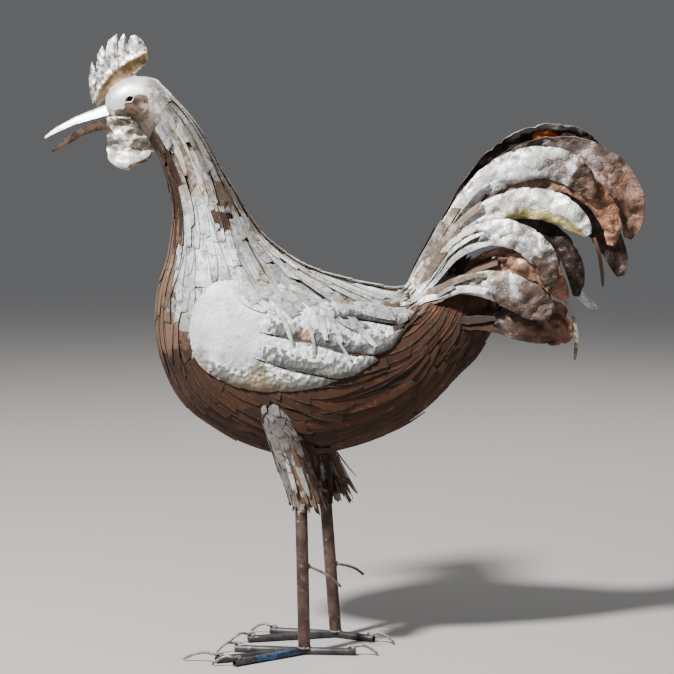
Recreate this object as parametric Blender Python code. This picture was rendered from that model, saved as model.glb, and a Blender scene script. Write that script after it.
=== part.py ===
"""A rooster of 1.35 m welded from scrap: a body clad in overlapping sheet-metal strips,
a hammered wing on each flank, comb, wattles, folded beak, sickle tail feathers, and two
water-pipe legs that end in feet of thinner pipe with wire claws.

Metres, +Z up. The bird looks along -X, so its left side faces -Y. The origin lies on the ground
under the middle of the whole bird, and y = 0 is the bird's middle plane."""

import math

import bmesh
import bpy
import numpy as np
from mathutils import Vector
from mathutils.bvhtree import BVHTree

# --- driving dimensions ------------------------------------------------------------------
GAP = 0.0003            # between pieces that touch
SHEET = 0.002           # wing, comb, wattle and tail sheet
LEG_PIPE = 0.0269       # outside diameter of the legs
LEG_WALL = 0.0026
TOE_PIPE = 0.016        # outside diameter of the toes
TOE_WALL = 0.002
CLAW_WIRE = 0.006
SPUR_WIRE = 0.006
WIRE_STEPS = 6          # straight lengths in a bent wire

LEFT, RIGHT = -1, 1     # the side of the middle plane that a piece lies on

# Ribs of the body from the top of the neck to the rump. Each rib is an ellipse across the
# bird: back edge (x, z), front or belly edge (x, z), half width.
BODY_RIBS = np.array([
    (-0.406, 1.246, -0.441, 1.147, 0.040),
    (-0.329, 1.160, -0.399, 1.080, 0.048),
    (-0.254, 1.030, -0.373, 0.978, 0.062),
    (-0.180, 0.915, -0.381, 0.876, 0.088),
    (-0.089, 0.847, -0.408, 0.771, 0.115),
    (-0.004, 0.818, -0.398, 0.643, 0.137),
    (0.057, 0.804, -0.318, 0.519, 0.142),
    (0.101, 0.796, -0.120, 0.434, 0.138),
    (0.127, 0.797, 0.110, 0.493, 0.108),
    (0.138, 0.801, 0.257, 0.625, 0.076),
    (0.142, 0.806, 0.291, 0.672, 0.066),
])
BODY_STATIONS = 26
STRIPS_PER_SIDE = 12    # sheet strips on each side of a rib
STRIP_LIFT = 0.005      # how far a strip's free edge stands off its neighbour
STRIP_SEAT = -0.003     # a strip's tucked edge, measured out from the rib
STRIP_ROW = 4           # stations from the start of one strip to the next in its line

HEAD_RIBS = np.array([
    (-0.406, 1.246, -0.441, 1.147, 0.041),
    (-0.430, 1.254, -0.458, 1.157, 0.043),
    (-0.458, 1.255, -0.478, 1.160, 0.043),
    (-0.482, 1.249, -0.494, 1.162, 0.039),
    (-0.503, 1.235, -0.507, 1.167, 0.030),
    (-0.516, 1.216, -0.515, 1.180, 0.015),
])
HEAD_STATIONS = 8
HEAD_SIDES = 18
EYE = (-0.4600, 1.209)          # centre of the eye hole (x, z)
EYE_HOLE = (0.0066, 0.0048)     # half length and half height
EYE_RIM = (0.0112, 0.0086)
EYE_TILT = math.radians(28)     # the rear corner is the higher one
EYE_DEPTH = 0.012

# Tail feathers from the near (left) side to the far side. Each one is a sickle cut from flat
# sheet and stands in an upright plane of its own: place down the rump (0 top, 1 bottom),
# y of the root, yaw of the plane, heading at the root and at the tip above the horizontal,
# length, how late it bends, greatest half width.
TAIL_FEATHERS = (
    (0.28, -0.050, -26, 57, -39, 0.305, 0.60, 0.039),
    (0.62, -0.044, -20, 8, -8, 0.270, 0.62, 0.030),
    (0.18, -0.038, -16, 65, -103, 0.415, 1.63, 0.031),
    (0.45, -0.031, -13, 64, -66, 0.345, 1.26, 0.026),
    (0.10, -0.024, -10, 59, -60, 0.475, 1.85, 0.034),
    (0.35, -0.017, -7, 88, -100, 0.520, 1.20, 0.023),
    (0.04, -0.010, -4, 61, -78, 0.550, 2.66, 0.036),
    (0.16, -0.003, -1, 62, -104, 0.623, 2.13, 0.029),
    (0.10, 0.004, 1, 66, -112, 0.742, 2.02, 0.037),
    (0.03, 0.011, 4, 61, -55, 0.585, 2.80, 0.037),
    (0.22, 0.018, 7, 88, -83, 0.660, 1.05, 0.034),
    (0.12, 0.025, 11, 62, -78, 0.560, 1.90, 0.033),
    (0.45, 0.032, 14, 64, -70, 0.360, 1.30, 0.026),
    (0.18, 0.039, 17, 64, -95, 0.440, 1.60, 0.032),
    (0.60, 0.045, 21, 12, -10, 0.290, 0.70, 0.032),
    (0.28, 0.051, 27, 58, -60, 0.360, 0.80, 0.037),
)
FEATHER_STATIONS = 10
FEATHER_ROOT = 0.013            # half width at the root

# Wing: a shallow dish against the flank, cut to this outline (x, z) with two slits and a notch
# that part it into an upper lobe and three long fingers.
WING_CENTRE = (-0.105, 0.655)   # the point of the dish furthest out (x, z)
WING_OUT = 0.1500               # how far out that point lies
WING_BEND = (0.67, 1.49)        # fall-off along x and along z, per metre
WING_TWIST = 0.87               # further fall-off towards the upper rear corner, per metre
WING_FLARE = 1.15               # flattening of both ends, per cubic metre
WING_SLIT = 0.003
WING_OUTLINE = (
    (-0.333, 0.719), (-0.327, 0.760), (-0.311, 0.791), (-0.287, 0.815), (-0.255, 0.826),
    (-0.181, 0.822), (-0.118, 0.807), (-0.069, 0.793), (-0.020, 0.773), (0.040, 0.768),
    (0.100, 0.774), (0.148, 0.775), (0.158, 0.766), (0.151, 0.749), (0.117, 0.727),
)
LOBE_EDGE = ((0.060, 0.737), (0.010, 0.745), (-0.040, 0.748))
FINGER_1_TIP = (0.132, 0.718)
FINGER_1_EDGE = ((0.100, 0.679), (0.062, 0.667), (0.002, 0.672), (-0.058, 0.690),
                 (-0.104, 0.701), (-0.182, 0.717))
FINGER_2_TIP = (0.073, 0.655)
FINGER_2_EDGE = ((0.019, 0.622), (-0.013, 0.617), (-0.062, 0.626), (-0.126, 0.640),
                 (-0.196, 0.663))
FINGER_3_TIP = (-0.014, 0.613)
WING_BELLY = ((-0.051, 0.599), (-0.105, 0.590), (-0.175, 0.587), (-0.236, 0.597),
              (-0.297, 0.629), (-0.325, 0.668))

# Comb: base line on the head, crease and five points, as (x, z).
COMB_POINTS = (
    (-0.545, 1.196), (-0.551, 1.222), (-0.553, 1.251), (-0.546, 1.287), (-0.537, 1.266),
    (-0.534, 1.303), (-0.523, 1.322), (-0.517, 1.306), (-0.510, 1.333), (-0.492, 1.347),
    (-0.496, 1.319), (-0.485, 1.340), (-0.476, 1.348), (-0.470, 1.327), (-0.462, 1.343),
    (-0.452, 1.345), (-0.439, 1.333), (-0.430, 1.315),
)
COMB_CREASE = ((-0.540, 1.198), (-0.508, 1.240), (-0.468, 1.275), (-0.430, 1.300))
COMB_RIM = ((-0.534, 1.192), (-0.500, 1.230), (-0.460, 1.262), (-0.434, 1.286))
COMB_CUP = (0.004, -0.009, 0.004)   # y of the points, the crease and the rim

WATTLE_TOP = 1.170
WATTLE_DROP = 0.107
WATTLE_OUT = (0.021, 0.034)     # distance from the middle plane at the top and at the bottom

UPPER_BEAK = (                  # x, ridge z, edge z, half width
    (-0.508, 1.200, 1.174, 0.017),
    (-0.539, 1.187, 1.166, 0.014),
    (-0.579, 1.171, 1.154, 0.010),
    (-0.621, 1.149, 1.137, 0.006),
    (-0.650, 1.127, 1.122, 0.002),
)
LOWER_BEAK = (                  # x, keel z, edge z, half width
    (-0.506, 1.141, 1.163, 0.015),
    (-0.529, 1.139, 1.161, 0.013),
    (-0.560, 1.132, 1.151, 0.010),
    (-0.596, 1.113, 1.129, 0.006),
    (-0.635, 1.093, 1.097, 0.002),
)

# Thighs: x, distance from the middle plane, z, half length, half width, for the left one.
THIGH_RINGS = np.array([
    (-0.160, 0.103, 0.600, 0.020, 0.014),
    (-0.154, 0.103, 0.555, 0.030, 0.024),
    (-0.137, 0.098, 0.503, 0.031, 0.026),
    (-0.119, 0.089, 0.445, 0.030, 0.026),
    (-0.105, 0.083, 0.392, 0.025, 0.022),
    (-0.095, 0.079, 0.338, 0.0165, 0.0165),
])
THIGH_ROWS = 6                  # rows of shingled strips
THIGH_SIDES = 12
THIGH_LIFT = 0.003
STRIDE = 0.0515                 # how far the right leg stands behind the left at the thigh

# Fringe of rusty tatters behind each thigh: it hugs the thigh at the top and flares below.
FRINGE_TOP = 0.432
FRINGE_TATTERS = 9
FRINGE_REACH = math.radians(115)    # how far round the thigh it goes, each way from the rear
FRINGE = {"left": (0.335, 0.012), "right": (0.330, 0.045)}  # z of the tips, flare of the tips

# Feet: ankle (x, y), the leg's place at the thigh (x, y), then each toe's heading away from
# straight ahead (positive turns it to the bird's left), length and claw tip (x, y). The first
# toe is the one the others are welded to; the last one points back.
FEET = {
    "left": {
        "ankle": (-0.0885, -0.078), "top": (-0.095, -0.079),
        "toes": (("middle", 23.1, 0.206, (-0.350, -0.137)),
                 ("outer", 36.5, 0.185, (-0.285, -0.183)),
                 ("inner", -7.8, 0.154, (-0.280, -0.071)),
                 ("back", 174.9, 0.113, (0.072, -0.094))),
        "spur": (0.195, -0.008, 0.150),
    },
    "right": {
        "ankle": (-0.0205, 0.078), "top": (-0.0435, 0.079),
        "toes": (("middle", 14.1, 0.201, (-0.258, 0.013)),
                 ("outer", -12.2, 0.151, (-0.211, 0.126)),
                 ("back", 150.9, 0.098, (0.110, 0.008))),
        "spur": (0.168, 0.043, 0.143),
    },
}
PIPE_SIDES = 12
HEEL = 0.012                    # how far the middle toe runs on behind the leg's middle
TOE_LEAD = 0.010                # how far ahead of it the side toes begin

PALE_ZINC = ((0.62, 0.62, 0.61), 0.45, 0.8)
WEATHERED_ZINC = ((0.42, 0.40, 0.37), 0.6, 0.6)
RUST = ((0.20, 0.095, 0.055), 0.8, 0.3)
BROWN_PIPE = ((0.16, 0.115, 0.10), 0.6, 0.4)
GREY_PIPE = ((0.25, 0.25, 0.26), 0.55, 0.5)


# --- helpers -----------------------------------------------------------------------------
def spline(rows, t):
    """The row at t along a smooth curve through all rows, with t from 0 to 1."""
    last = len(rows) - 1
    place = min(max(t, 0.0), 1.0) * last
    i = min(int(place), last - 1)
    f = place - i
    p0, p1, p2, p3 = (rows[min(max(k, 0), last)] for k in (i - 1, i, i + 1, i + 2))
    return 0.5 * (2 * p1 + (p2 - p0) * f + (2 * p0 - 5 * p1 + 4 * p2 - p3) * f * f
                  + (3 * p1 - p0 - 3 * p2 + p3) * f ** 3)


def smooth(edge0, edge1, value):
    """0 before edge0, 1 after edge1, eased between."""
    f = min(max((value - edge0) / (edge1 - edge0), 0.0), 1.0)
    return f * f * (3 - 2 * f)


def finish_material(name, finish):
    colour, roughness, metallic = finish
    material = bpy.data.materials.new(name)
    material.use_nodes = True
    shader = material.node_tree.nodes["Principled BSDF"]
    shader.inputs["Base Color"].default_value = (*colour, 1)
    shader.inputs["Roughness"].default_value = roughness
    shader.inputs["Metallic"].default_value = metallic
    material.diffuse_color = (*colour, 1)
    return material


def add_object(name, data, finish):
    obj = bpy.data.objects.new(name, data)
    bpy.context.scene.collection.objects.link(obj)
    data.materials.append(finish_material(name, finish))
    return obj


def mesh_object(name, bm, finish, outward=True):
    """Turn a bmesh into an object with its faces pointing out and round parts smooth."""
    if outward:
        bmesh.ops.recalc_face_normals(bm, faces=bm.faces)
    mesh = bpy.data.meshes.new(name)
    bm.to_mesh(mesh)
    bm.free()
    mesh.shade_smooth()
    mesh.set_sharp_from_angle(angle=math.radians(32))
    return add_object(name, mesh, finish)


def make_guide(obj):
    """Keep an object as a cutter only."""
    obj.hide_render = True
    obj.display_type = 'WIRE'
    return obj


def cut(obj, tool, operation='DIFFERENCE'):
    boolean = obj.modifiers.new("cut by " + tool.name, 'BOOLEAN')
    boolean.operation = operation
    boolean.solver = 'EXACT'
    boolean.object = tool


def loft(rings, closed=False):
    """Bridge rings of points with quads; the ends are capped, or joined when closed."""
    bm = bmesh.new()
    loops = [[bm.verts.new(p) for p in ring] for ring in rings]
    count = len(loops[0])
    pairs = list(zip(loops, loops[1:]))
    if closed:
        pairs.append((loops[-1], loops[0]))
    for a, b in pairs:
        for k in range(count):
            n = (k + 1) % count
            bm.faces.new((a[k], a[n], b[n], b[k]))
    if not closed:
        bm.faces.new(loops[0])
        bm.faces.new(loops[-1])
    return bm


def prism(name, outline, y_low, y_high):
    """An outline in the x-z plane, drawn out along y."""
    bm = bmesh.new()
    face = bm.faces.new([bm.verts.new((x, y_low, z)) for x, z in outline])
    grown = bmesh.ops.extrude_face_region(bm, geom=[face])
    verts = [v for v in grown["geom"] if isinstance(v, bmesh.types.BMVert)]
    bmesh.ops.translate(bm, verts=verts, vec=(0, y_high - y_low, 0))
    return mesh_object(name, bm, PALE_ZINC)


# --- ribbed skins: body and head ---------------------------------------------------------
def skin_point(ribs, t, angle, lift=0.0):
    """A point of a skin: angle 0 is the back edge of rib t, pi the front edge, and positive
    angles lie on the bird's left. Lift moves it out of the skin within the rib's plane."""
    row = spline(ribs, t)
    back = Vector((row[0], 0, row[1]))
    front = Vector((row[2], 0, row[3]))
    half = (back - front) / 2
    radius, width = half.length, row[4]
    along = half.normalized()
    outward = along * (math.cos(angle) / radius) + Vector((0, -math.sin(angle) / width, 0))
    return ((back + front) / 2 + half * math.cos(angle)
            + Vector((0, -width * math.sin(angle), 0)) + outward.normalized() * lift)


def smooth_skin(ribs, stations, sides, lift):
    angles = [2 * math.pi * k / sides for k in range(sides)]
    return loft([[skin_point(ribs, i / stations, a, lift) for a in angles]
                 for i in range(stations + 1)])


def strip_lift(station, strip):
    """Height of a strip's free edge: it rises towards the strip's tail end and drops again
    where the next strip in its line comes out from under it."""
    along = ((station + 3 * strip) % STRIP_ROW) / (STRIP_ROW - 1)
    return STRIP_SEAT + STRIP_LIFT * (0.35 + 0.65 * along)


def body():
    """Body and neck: strips that run from head to tail, each lapping over the next one down."""
    step = math.pi / STRIPS_PER_SIDE
    rings = []
    for i in range(BODY_STATIONS + 1):
        t = i / BODY_STATIONS
        side = []
        for k in range(STRIPS_PER_SIDE):
            side.append(((k + 1) * step, strip_lift(i, k)))
            if k < STRIPS_PER_SIDE - 1:
                side.append(((k + 1) * step, STRIP_SEAT))
        ring = [skin_point(BODY_RIBS, t, 0.0, STRIP_SEAT)]
        ring += [skin_point(BODY_RIBS, t, angle, lift) for angle, lift in side]
        ring += [skin_point(BODY_RIBS, t, -angle, lift) for angle, lift in reversed(side[:-1])]
        rings.append(ring)
    return mesh_object("body", loft(rings), WEATHERED_ZINC)


def body_guide():
    """The smooth envelope of the clad body, for cutting what is welded to it."""
    envelope = STRIP_SEAT + STRIP_LIFT + 2 * GAP
    return make_guide(mesh_object("body_guide", smooth_skin(BODY_RIBS, BODY_STATIONS, 40,
                                                            envelope), RUST))


def head_skin(lift, ahead):
    """The head's smooth skin, moved ahead of the neck's cut end."""
    bm = smooth_skin(HEAD_RIBS, HEAD_STATIONS, HEAD_SIDES, lift)
    back_x, back_z, front_x, front_z = HEAD_RIBS[0][:4]
    way = Vector((front_z - back_z, 0, back_x - front_x)).normalized()
    bmesh.ops.translate(bm, verts=bm.verts, vec=way * ahead)
    return bm


def head():
    """The domed head, butted to the neck, with a hole punched for each eye."""
    obj = mesh_object("head", head_skin(0.0, GAP), PALE_ZINC)
    for side in (LEFT, RIGHT):
        cut(obj, eye_punch(side))
    return obj


def head_guide():
    return make_guide(mesh_object("head_guide", head_skin(2 * GAP, 3 * GAP), RUST))


def tree_of(obj):
    bm = bmesh.new()
    bm.from_mesh(obj.data)
    tree = BVHTree.FromBMesh(bm)
    bm.free()
    return tree


def on_side(tree, x, z, side):
    """Where a skin lies on one side of the bird, looking in along y."""
    hit = tree.ray_cast(Vector((x, side, z)), Vector((0, -side, 0)))[0]
    return hit.y


def eye_loop(half, count=14):
    """An ellipse round the eye, tilted as the eye is, as (x, z) points."""
    points = []
    for k in range(count):
        a = 2 * math.pi * k / count
        u = half[0] * math.cos(a)
        v = half[1] * math.sin(a)
        points.append((EYE[0] + u * math.cos(EYE_TILT) - v * math.sin(EYE_TILT),
                       EYE[1] + u * math.sin(EYE_TILT) + v * math.cos(EYE_TILT)))
    return points


def eye_punch(side):
    surface = HEAD_RIBS[2][4]
    low, high = sorted((side * (surface - EYE_DEPTH), side * (surface + 0.01)))
    return make_guide(prism("eye_punch_" + side_name(side), eye_loop(EYE_HOLE), low, high))


def eye(side, tree):
    """The bright almond rim that is welded round the eye hole."""
    rings = []
    for half, height in ((EYE_RIM, 0.0), (EYE_RIM, SHEET), (EYE_HOLE, SHEET), (EYE_HOLE, 0.0)):
        rings.append([(x, on_side(tree, x, z, side) + side * (height + GAP), z)
                      for x, z in eye_loop(half)])
    return mesh_object("eye_" + side_name(side), loft(rings, closed=True), PALE_ZINC)


def side_name(side):
    return "left" if side == LEFT else "right"


# --- sheet pieces on the head ------------------------------------------------------------
def folded_beak(name, rows, fold, finish):
    """A strip of sheet folded lengthwise: fold is 1 for a ridge on top, -1 for a keel below."""
    rings = []
    for x, ridge, edge, half in rows:
        wall = min(SHEET, half * 0.7)
        shoulder = edge + (ridge - edge) * 0.75
        inner_ridge = ridge - fold * wall
        inner_shoulder = shoulder - fold * wall
        rings.append([
            (x, -half, edge), (x, -half * 0.65, shoulder), (x, 0, ridge),
            (x, half * 0.65, shoulder), (x, half, edge), (x, half - wall, edge),
            (x, (half - wall) * 0.6, inner_shoulder), (x, 0, inner_ridge),
            (x, -(half - wall) * 0.6, inner_shoulder), (x, -(half - wall), edge)])
    return mesh_object(name, loft(rings), finish)


def comb():
    """A cupped sheet: five points above, a crease, and a rim that follows the head."""
    columns = len(COMB_POINTS)
    crease = np.array(COMB_CREASE)
    rim = np.array(COMB_RIM)
    y_points, y_crease, y_rim = COMB_CUP
    bm = bmesh.new()
    grid = []
    for k, (x, z) in enumerate(COMB_POINTS):
        t = k / (columns - 1)
        fold = spline(crease, t)
        low = spline(rim, t)
        middle = ((x + fold[0]) / 2, (z + fold[1]) / 2)
        grid.append([bm.verts.new(p) for p in (
            (x, y_points, z), (middle[0], (y_points + y_crease) / 2 - 0.003, middle[1]),
            (fold[0], y_crease, fold[1]), (low[0], y_rim, low[1]))])
    for a, b in zip(grid, grid[1:]):
        for r in range(3):
            bm.faces.new((a[r], a[r + 1], b[r + 1], b[r]))
    obj = mesh_object("comb", bm, PALE_ZINC)
    plate(obj)
    return obj


def plate(obj):
    """Give a bent sheet its thickness, to both sides of where it was drawn."""
    solidify = obj.modifiers.new("sheet", 'SOLIDIFY')
    solidify.thickness = SHEET
    solidify.offset = 0.0


def wattle(side):
    """A hammered tongue of sheet that hangs from the cheek and swings outwards below."""
    drop = 0.012 if side == RIGHT else 0.0
    bm = bmesh.new()
    rows = []
    for k in range(9):
        s = k / 8
        round_off = math.sqrt(max(1 - ((s - 0.68) / 0.33) ** 2, 0.0)) if s > 0.68 else 1.0
        middle = -0.4825 + 0.018 * smooth(0, 0.7, s)
        half = (0.030 + 0.0175 * smooth(0, 0.7, s)) * round_off
        out = WATTLE_OUT[0] + (WATTLE_OUT[1] - WATTLE_OUT[0]) * s
        z = WATTLE_TOP - (WATTLE_DROP + drop) * s
        rows.append([bm.verts.new((middle + half * u, side * (out + 0.006 * (1 - u * u)), z))
                     for u in (-1, -0.5, 0, 0.5, 1)])
    for a, b in zip(rows, rows[1:]):
        for c in range(4):
            bm.faces.new((a[c], a[c + 1], b[c + 1], b[c]))
    obj = mesh_object("wattle_" + side_name(side), bm, PALE_ZINC)
    plate(obj)
    return obj


# --- wing --------------------------------------------------------------------------------
def wing_depth(x, z):
    """How far out from the middle plane the dish of the wing lies."""
    along, up = x - WING_CENTRE[0], z - WING_CENTRE[1]
    return (WING_OUT - WING_BEND[0] * along ** 2 - WING_BEND[1] * up ** 2
            - WING_TWIST * along * up + WING_FLARE * along ** 4)


def slit_below(edge):
    """The same edge again, one slit's width lower, running back out from the slit's end."""
    return tuple((x, z - WING_SLIT) for x, z in reversed(edge[1:-1]))


def wing(side):
    outline = (WING_OUTLINE + LOBE_EDGE + slit_below(((0, 0),) + LOBE_EDGE)
               + (FINGER_1_TIP,) + FINGER_1_EDGE + slit_below(FINGER_1_EDGE)
               + (FINGER_2_TIP,) + FINGER_2_EDGE + slit_below(FINGER_2_EDGE)
               + (FINGER_3_TIP,) + WING_BELLY)
    columns, rows = 9, 4
    bm = bmesh.new()
    grid = []
    for i in range(columns + 1):
        x = -0.345 + 0.51 * i / columns
        line = []
        for j in range(rows + 1):
            z = 0.58 + 0.255 * j / rows
            line.append(bm.verts.new((x, side * wing_depth(x, z), z)))
        grid.append(line)
    for a, b in zip(grid, grid[1:]):
        for j in range(rows):
            bm.faces.new((a[j], a[j + 1], b[j + 1], b[j]))
    name = "wing_" + side_name(side)
    obj = mesh_object(name, bm, PALE_ZINC)
    plate(obj)
    low, high = sorted((side * 0.02, side * 0.2))
    cut(obj, make_guide(prism(name + "_outline", outline, low, high)), 'INTERSECT')
    return obj


# --- tail --------------------------------------------------------------------------------
RUMP_TOP = Vector((BODY_RIBS[-1][0], 0, BODY_RIBS[-1][1]))
RUMP_FOOT = Vector((BODY_RIBS[-1][2], 0, BODY_RIBS[-1][3]))
RUMP_OUT = Vector((RUMP_TOP.z - RUMP_FOOT.z, 0, RUMP_FOOT.x - RUMP_TOP.x)).normalized()


def feather_half_width(s, widest):
    """Narrow at the root, widest two thirds along, round at the tip."""
    swell = FEATHER_ROOT + (widest - FEATHER_ROOT) * smooth(0.12, 0.68, s)
    tip = math.sqrt(max(1 - ((s - 0.78) / 0.225) ** 2, 0.0)) if s > 0.78 else 1.0
    return swell * tip


def tail_feather(number, row):
    down, root_y, yaw, launch, end, length, lateness, widest = row
    root = RUMP_TOP.lerp(RUMP_FOOT, down) + Vector((0, root_y, 0)) + RUMP_OUT * (4 * GAP)
    ahead = Vector((math.cos(math.radians(yaw)), math.sin(math.radians(yaw)), 0))
    normal = Vector((-ahead.y, ahead.x, 0)) * (LEFT if root_y < 0 else RIGHT)
    rump_line = (ahead * -RUMP_OUT.z + Vector((0, 0, RUMP_OUT.x * ahead.x))).normalized()
    stations = [math.sin(math.pi / 2 * i / FEATHER_STATIONS) for i in range(FEATHER_STATIONS + 1)]
    rings = []
    centre = root.copy()
    steps = 8
    for i, s in enumerate(stations):
        heading = math.radians(launch - (launch - end) * s ** lateness)
        across = ahead * -math.sin(heading) + Vector((0, 0, math.cos(heading)))
        square = across.lerp(rump_line, 1 - smooth(0.0, 0.12, s)).normalized()
        half = feather_half_width(s, widest)
        bow = normal * (0.16 * half)
        front = [centre + square * (half * v) + bow * (1 - v * v) for v in (-1, 0, 1)]
        rings.append([p + normal * (SHEET / 2) for p in front]
                     + [p - normal * (SHEET / 2) for p in reversed(front)])
        span = stations[min(i + 1, FEATHER_STATIONS)] - s
        for k in range(steps):
            along = s + span * (k + 0.5) / steps
            turn = math.radians(launch - (launch - end) * along ** lateness)
            way = ahead * math.cos(turn) + Vector((0, 0, math.sin(turn)))
            centre = centre + way * (length * span / steps)
    return mesh_object(f"tail_feather_{number:02d}", loft(rings),
                       PALE_ZINC if number in (1, 3, 5, 7) else RUST)


# --- legs and feet -----------------------------------------------------------------------
def thigh(side, guide):
    """A tapering sleeve of shingled strips between the flank and the top of the leg."""
    stride = 0.0 if side == LEFT else STRIDE
    drop = 0.0 if side == LEFT else 0.011
    rings = []
    for i in range(2 * THIGH_ROWS):
        t = (i // 2 + (i % 2) * 0.97) / (THIGH_ROWS - 0.03)
        x, out, z, half_x, half_y = spline(THIGH_RINGS, t)
        lift = THIGH_LIFT * (i % 2) * (1 - smooth(0.85, 1.0, t))
        rings.append([(x + stride + (half_x + lift) * math.cos(a),
                       side * out + (half_y + lift) * math.sin(a), z - drop * t)
                      for a in (2 * math.pi * k / THIGH_SIDES for k in range(THIGH_SIDES))])
    obj = mesh_object("thigh_" + side_name(side), loft(rings), WEATHERED_ZINC)
    cut(obj, guide)
    return obj


def fringe(side):
    """A sheet cut into ragged tatters, bent round the rear of the thigh."""
    name = side_name(side)
    tip_z, flare = FRINGE[name]
    stride = 0.0 if side == LEFT else STRIDE
    columns = 2 * FRINGE_TATTERS
    grid = []
    bm = bmesh.new()
    for i in range(columns + 1):
        a = FRINGE_REACH * (2 * i / columns - 1)
        ragged = 0.022 * math.sin(i * 2.4)
        tip = i % 2
        line = []
        for t in (0.0, 0.45, 1.0):
            z = FRINGE_TOP + (tip_z + ragged - FRINGE_TOP) * t * (1 if tip else 0.55)
            x, out, half_x, half_y = spline(THIGH_RINGS[:, (0, 1, 3, 4)], thigh_place(z))
            spread = (THIGH_LIFT + SHEET + 0.003
                      + (flare * math.cos(a / 2) + 0.004) * t * t * (1.0 if tip else 0.4))
            line.append(bm.verts.new((x + stride + (half_x + spread) * math.cos(a),
                                      side * out + (half_y + spread) * math.sin(a), z)))
        grid.append(line)
    for a, b in zip(grid, grid[1:]):
        for r in range(2):
            bm.faces.new((a[r], b[r], b[r + 1], a[r + 1]))
    obj = mesh_object("fringe_" + name, bm, RUST)
    plate(obj)
    return obj


def thigh_place(z):
    """How far down the thigh's rings a height lies, 0 at the top ring and 1 at the last."""
    heights = THIGH_RINGS[::-1, 2]
    return 1 - float(np.interp(z, heights, np.linspace(0, 1, len(heights))))


def pipe(name, start, end, across, up, outside, wall, finish):
    """An open pipe from start to end whose cut ends lie in the plane of across and up."""
    rings = []
    for centre, radius in ((start, outside / 2), (end, outside / 2),
                           (end, outside / 2 - wall), (start, outside / 2 - wall)):
        reach = radius / math.cos(math.pi / PIPE_SIDES)
        turns = [2 * math.pi * (k + 0.5) / PIPE_SIDES for k in range(PIPE_SIDES)]
        rings.append([centre + across * (reach * math.cos(a)) + up * (reach * math.sin(a))
                      for a in turns])
    return mesh_object(name, loft(rings, closed=True), finish)


def wire(name, points, diameter, finish):
    """A bent rod through a few points."""
    curve = bpy.data.curves.new(name, 'CURVE')
    curve.dimensions = '3D'
    curve.bevel_depth = diameter / 2
    curve.bevel_resolution = 1
    curve.use_fill_caps = True
    route = [spline(np.array(points), k / WIRE_STEPS) for k in range(WIRE_STEPS + 1)]
    line = curve.splines.new('POLY')
    line.points.add(len(route) - 1)
    for point, place in zip(line.points, route):
        point.co = (*place, 1)
    return add_object(name, curve, finish)


def claw(name, toe_end, toe_way, tip):
    """Welded along the top of a toe's end, then arched over and down to the ground."""
    top = TOE_PIPE + CLAW_WIRE / 2 + GAP
    ground = CLAW_WIRE / 2 + GAP
    end = Vector((toe_end.x, toe_end.y, 0))
    point = Vector((tip[0], tip[1], 0))
    reach = point - end
    return wire(name, [end - toe_way * 0.016 + Vector((0, 0, top)),
                       end + toe_way * 0.003 + Vector((0, 0, top + 0.001)),
                       end + reach * 0.35 + Vector((0, 0, top + 0.003)),
                       end + reach * 0.72 + Vector((0, 0, top * 0.75)),
                       point + Vector((0, 0, ground))], CLAW_WIRE, GREY_PIPE)


def toe_keep_out(name, start, way, length):
    """A block round the middle toe that the other toes are mitred against."""
    half = TOE_PIPE / 2 + GAP
    across = Vector((-way.y, way.x, 0)) * half
    bm = bmesh.new()
    corners = [start + across, start - across,
               start - across + way * length, start + across + way * length]
    face = bm.faces.new([bm.verts.new((p.x, p.y, -0.01)) for p in corners])
    grown = bmesh.ops.extrude_face_region(bm, geom=[face])
    verts = [v for v in grown["geom"] if isinstance(v, bmesh.types.BMVert)]
    bmesh.ops.translate(bm, verts=verts, vec=(0, 0, 0.04))
    return make_guide(mesh_object(name, bm, GREY_PIPE))


def foot(side, plan):
    """Toes of thin pipe welded together under the leg, each with a wire claw."""
    name = side_name(side)
    ankle = Vector((*plan["ankle"], TOE_PIPE / 2))
    keep_out = None
    for toe_name, heading, length, claw_tip in plan["toes"]:
        turn = math.radians(heading)
        way = Vector((-math.cos(turn), -math.sin(turn), 0))
        across = Vector((-way.y, way.x, 0))
        if keep_out is None:
            start = ankle - way * HEEL
        else:
            start = ankle if toe_name == "back" else ankle + way * TOE_LEAD
        end = ankle + way * length
        toe = pipe(f"toe_{toe_name}_{name}", start, end, across, Vector((0, 0, 1)),
                   TOE_PIPE, TOE_WALL, GREY_PIPE)
        if keep_out is None:
            keep_out = toe_keep_out("keep_out_" + name, start - way * GAP, way,
                                    length + HEEL + 2 * GAP)
        else:
            cut(toe, keep_out)
        claw(f"claw_{toe_name}_{name}", end, way, claw_tip)


def leg(side, plan, thigh_foot):
    """One length of water pipe from the foot to the thigh, with a wire spur behind."""
    name = side_name(side)
    bottom = Vector((*plan["ankle"], TOE_PIPE + GAP))
    top = Vector((*plan["top"], thigh_foot - GAP))
    pipe("leg_" + name, bottom, top, Vector((1, 0, 0)), Vector((0, 1, 0)),
         LEG_PIPE, LEG_WALL, BROWN_PIPE)
    start_z, tip_x, tip_z = plan["spur"]
    leg_at = bottom.lerp(top, (start_z - bottom.z) / (top.z - bottom.z))
    root = Vector((leg_at.x + LEG_PIPE / 2 + 0.0018, leg_at.y, start_z))
    tip = Vector((tip_x, leg_at.y, tip_z))
    wire("spur_" + name, [root, root.lerp(tip, 0.36) + Vector((0, 0, 0.005)),
                          root.lerp(tip, 0.7) + Vector((0, 0, 0.006)), tip],
         SPUR_WIRE, BROWN_PIPE)


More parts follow.
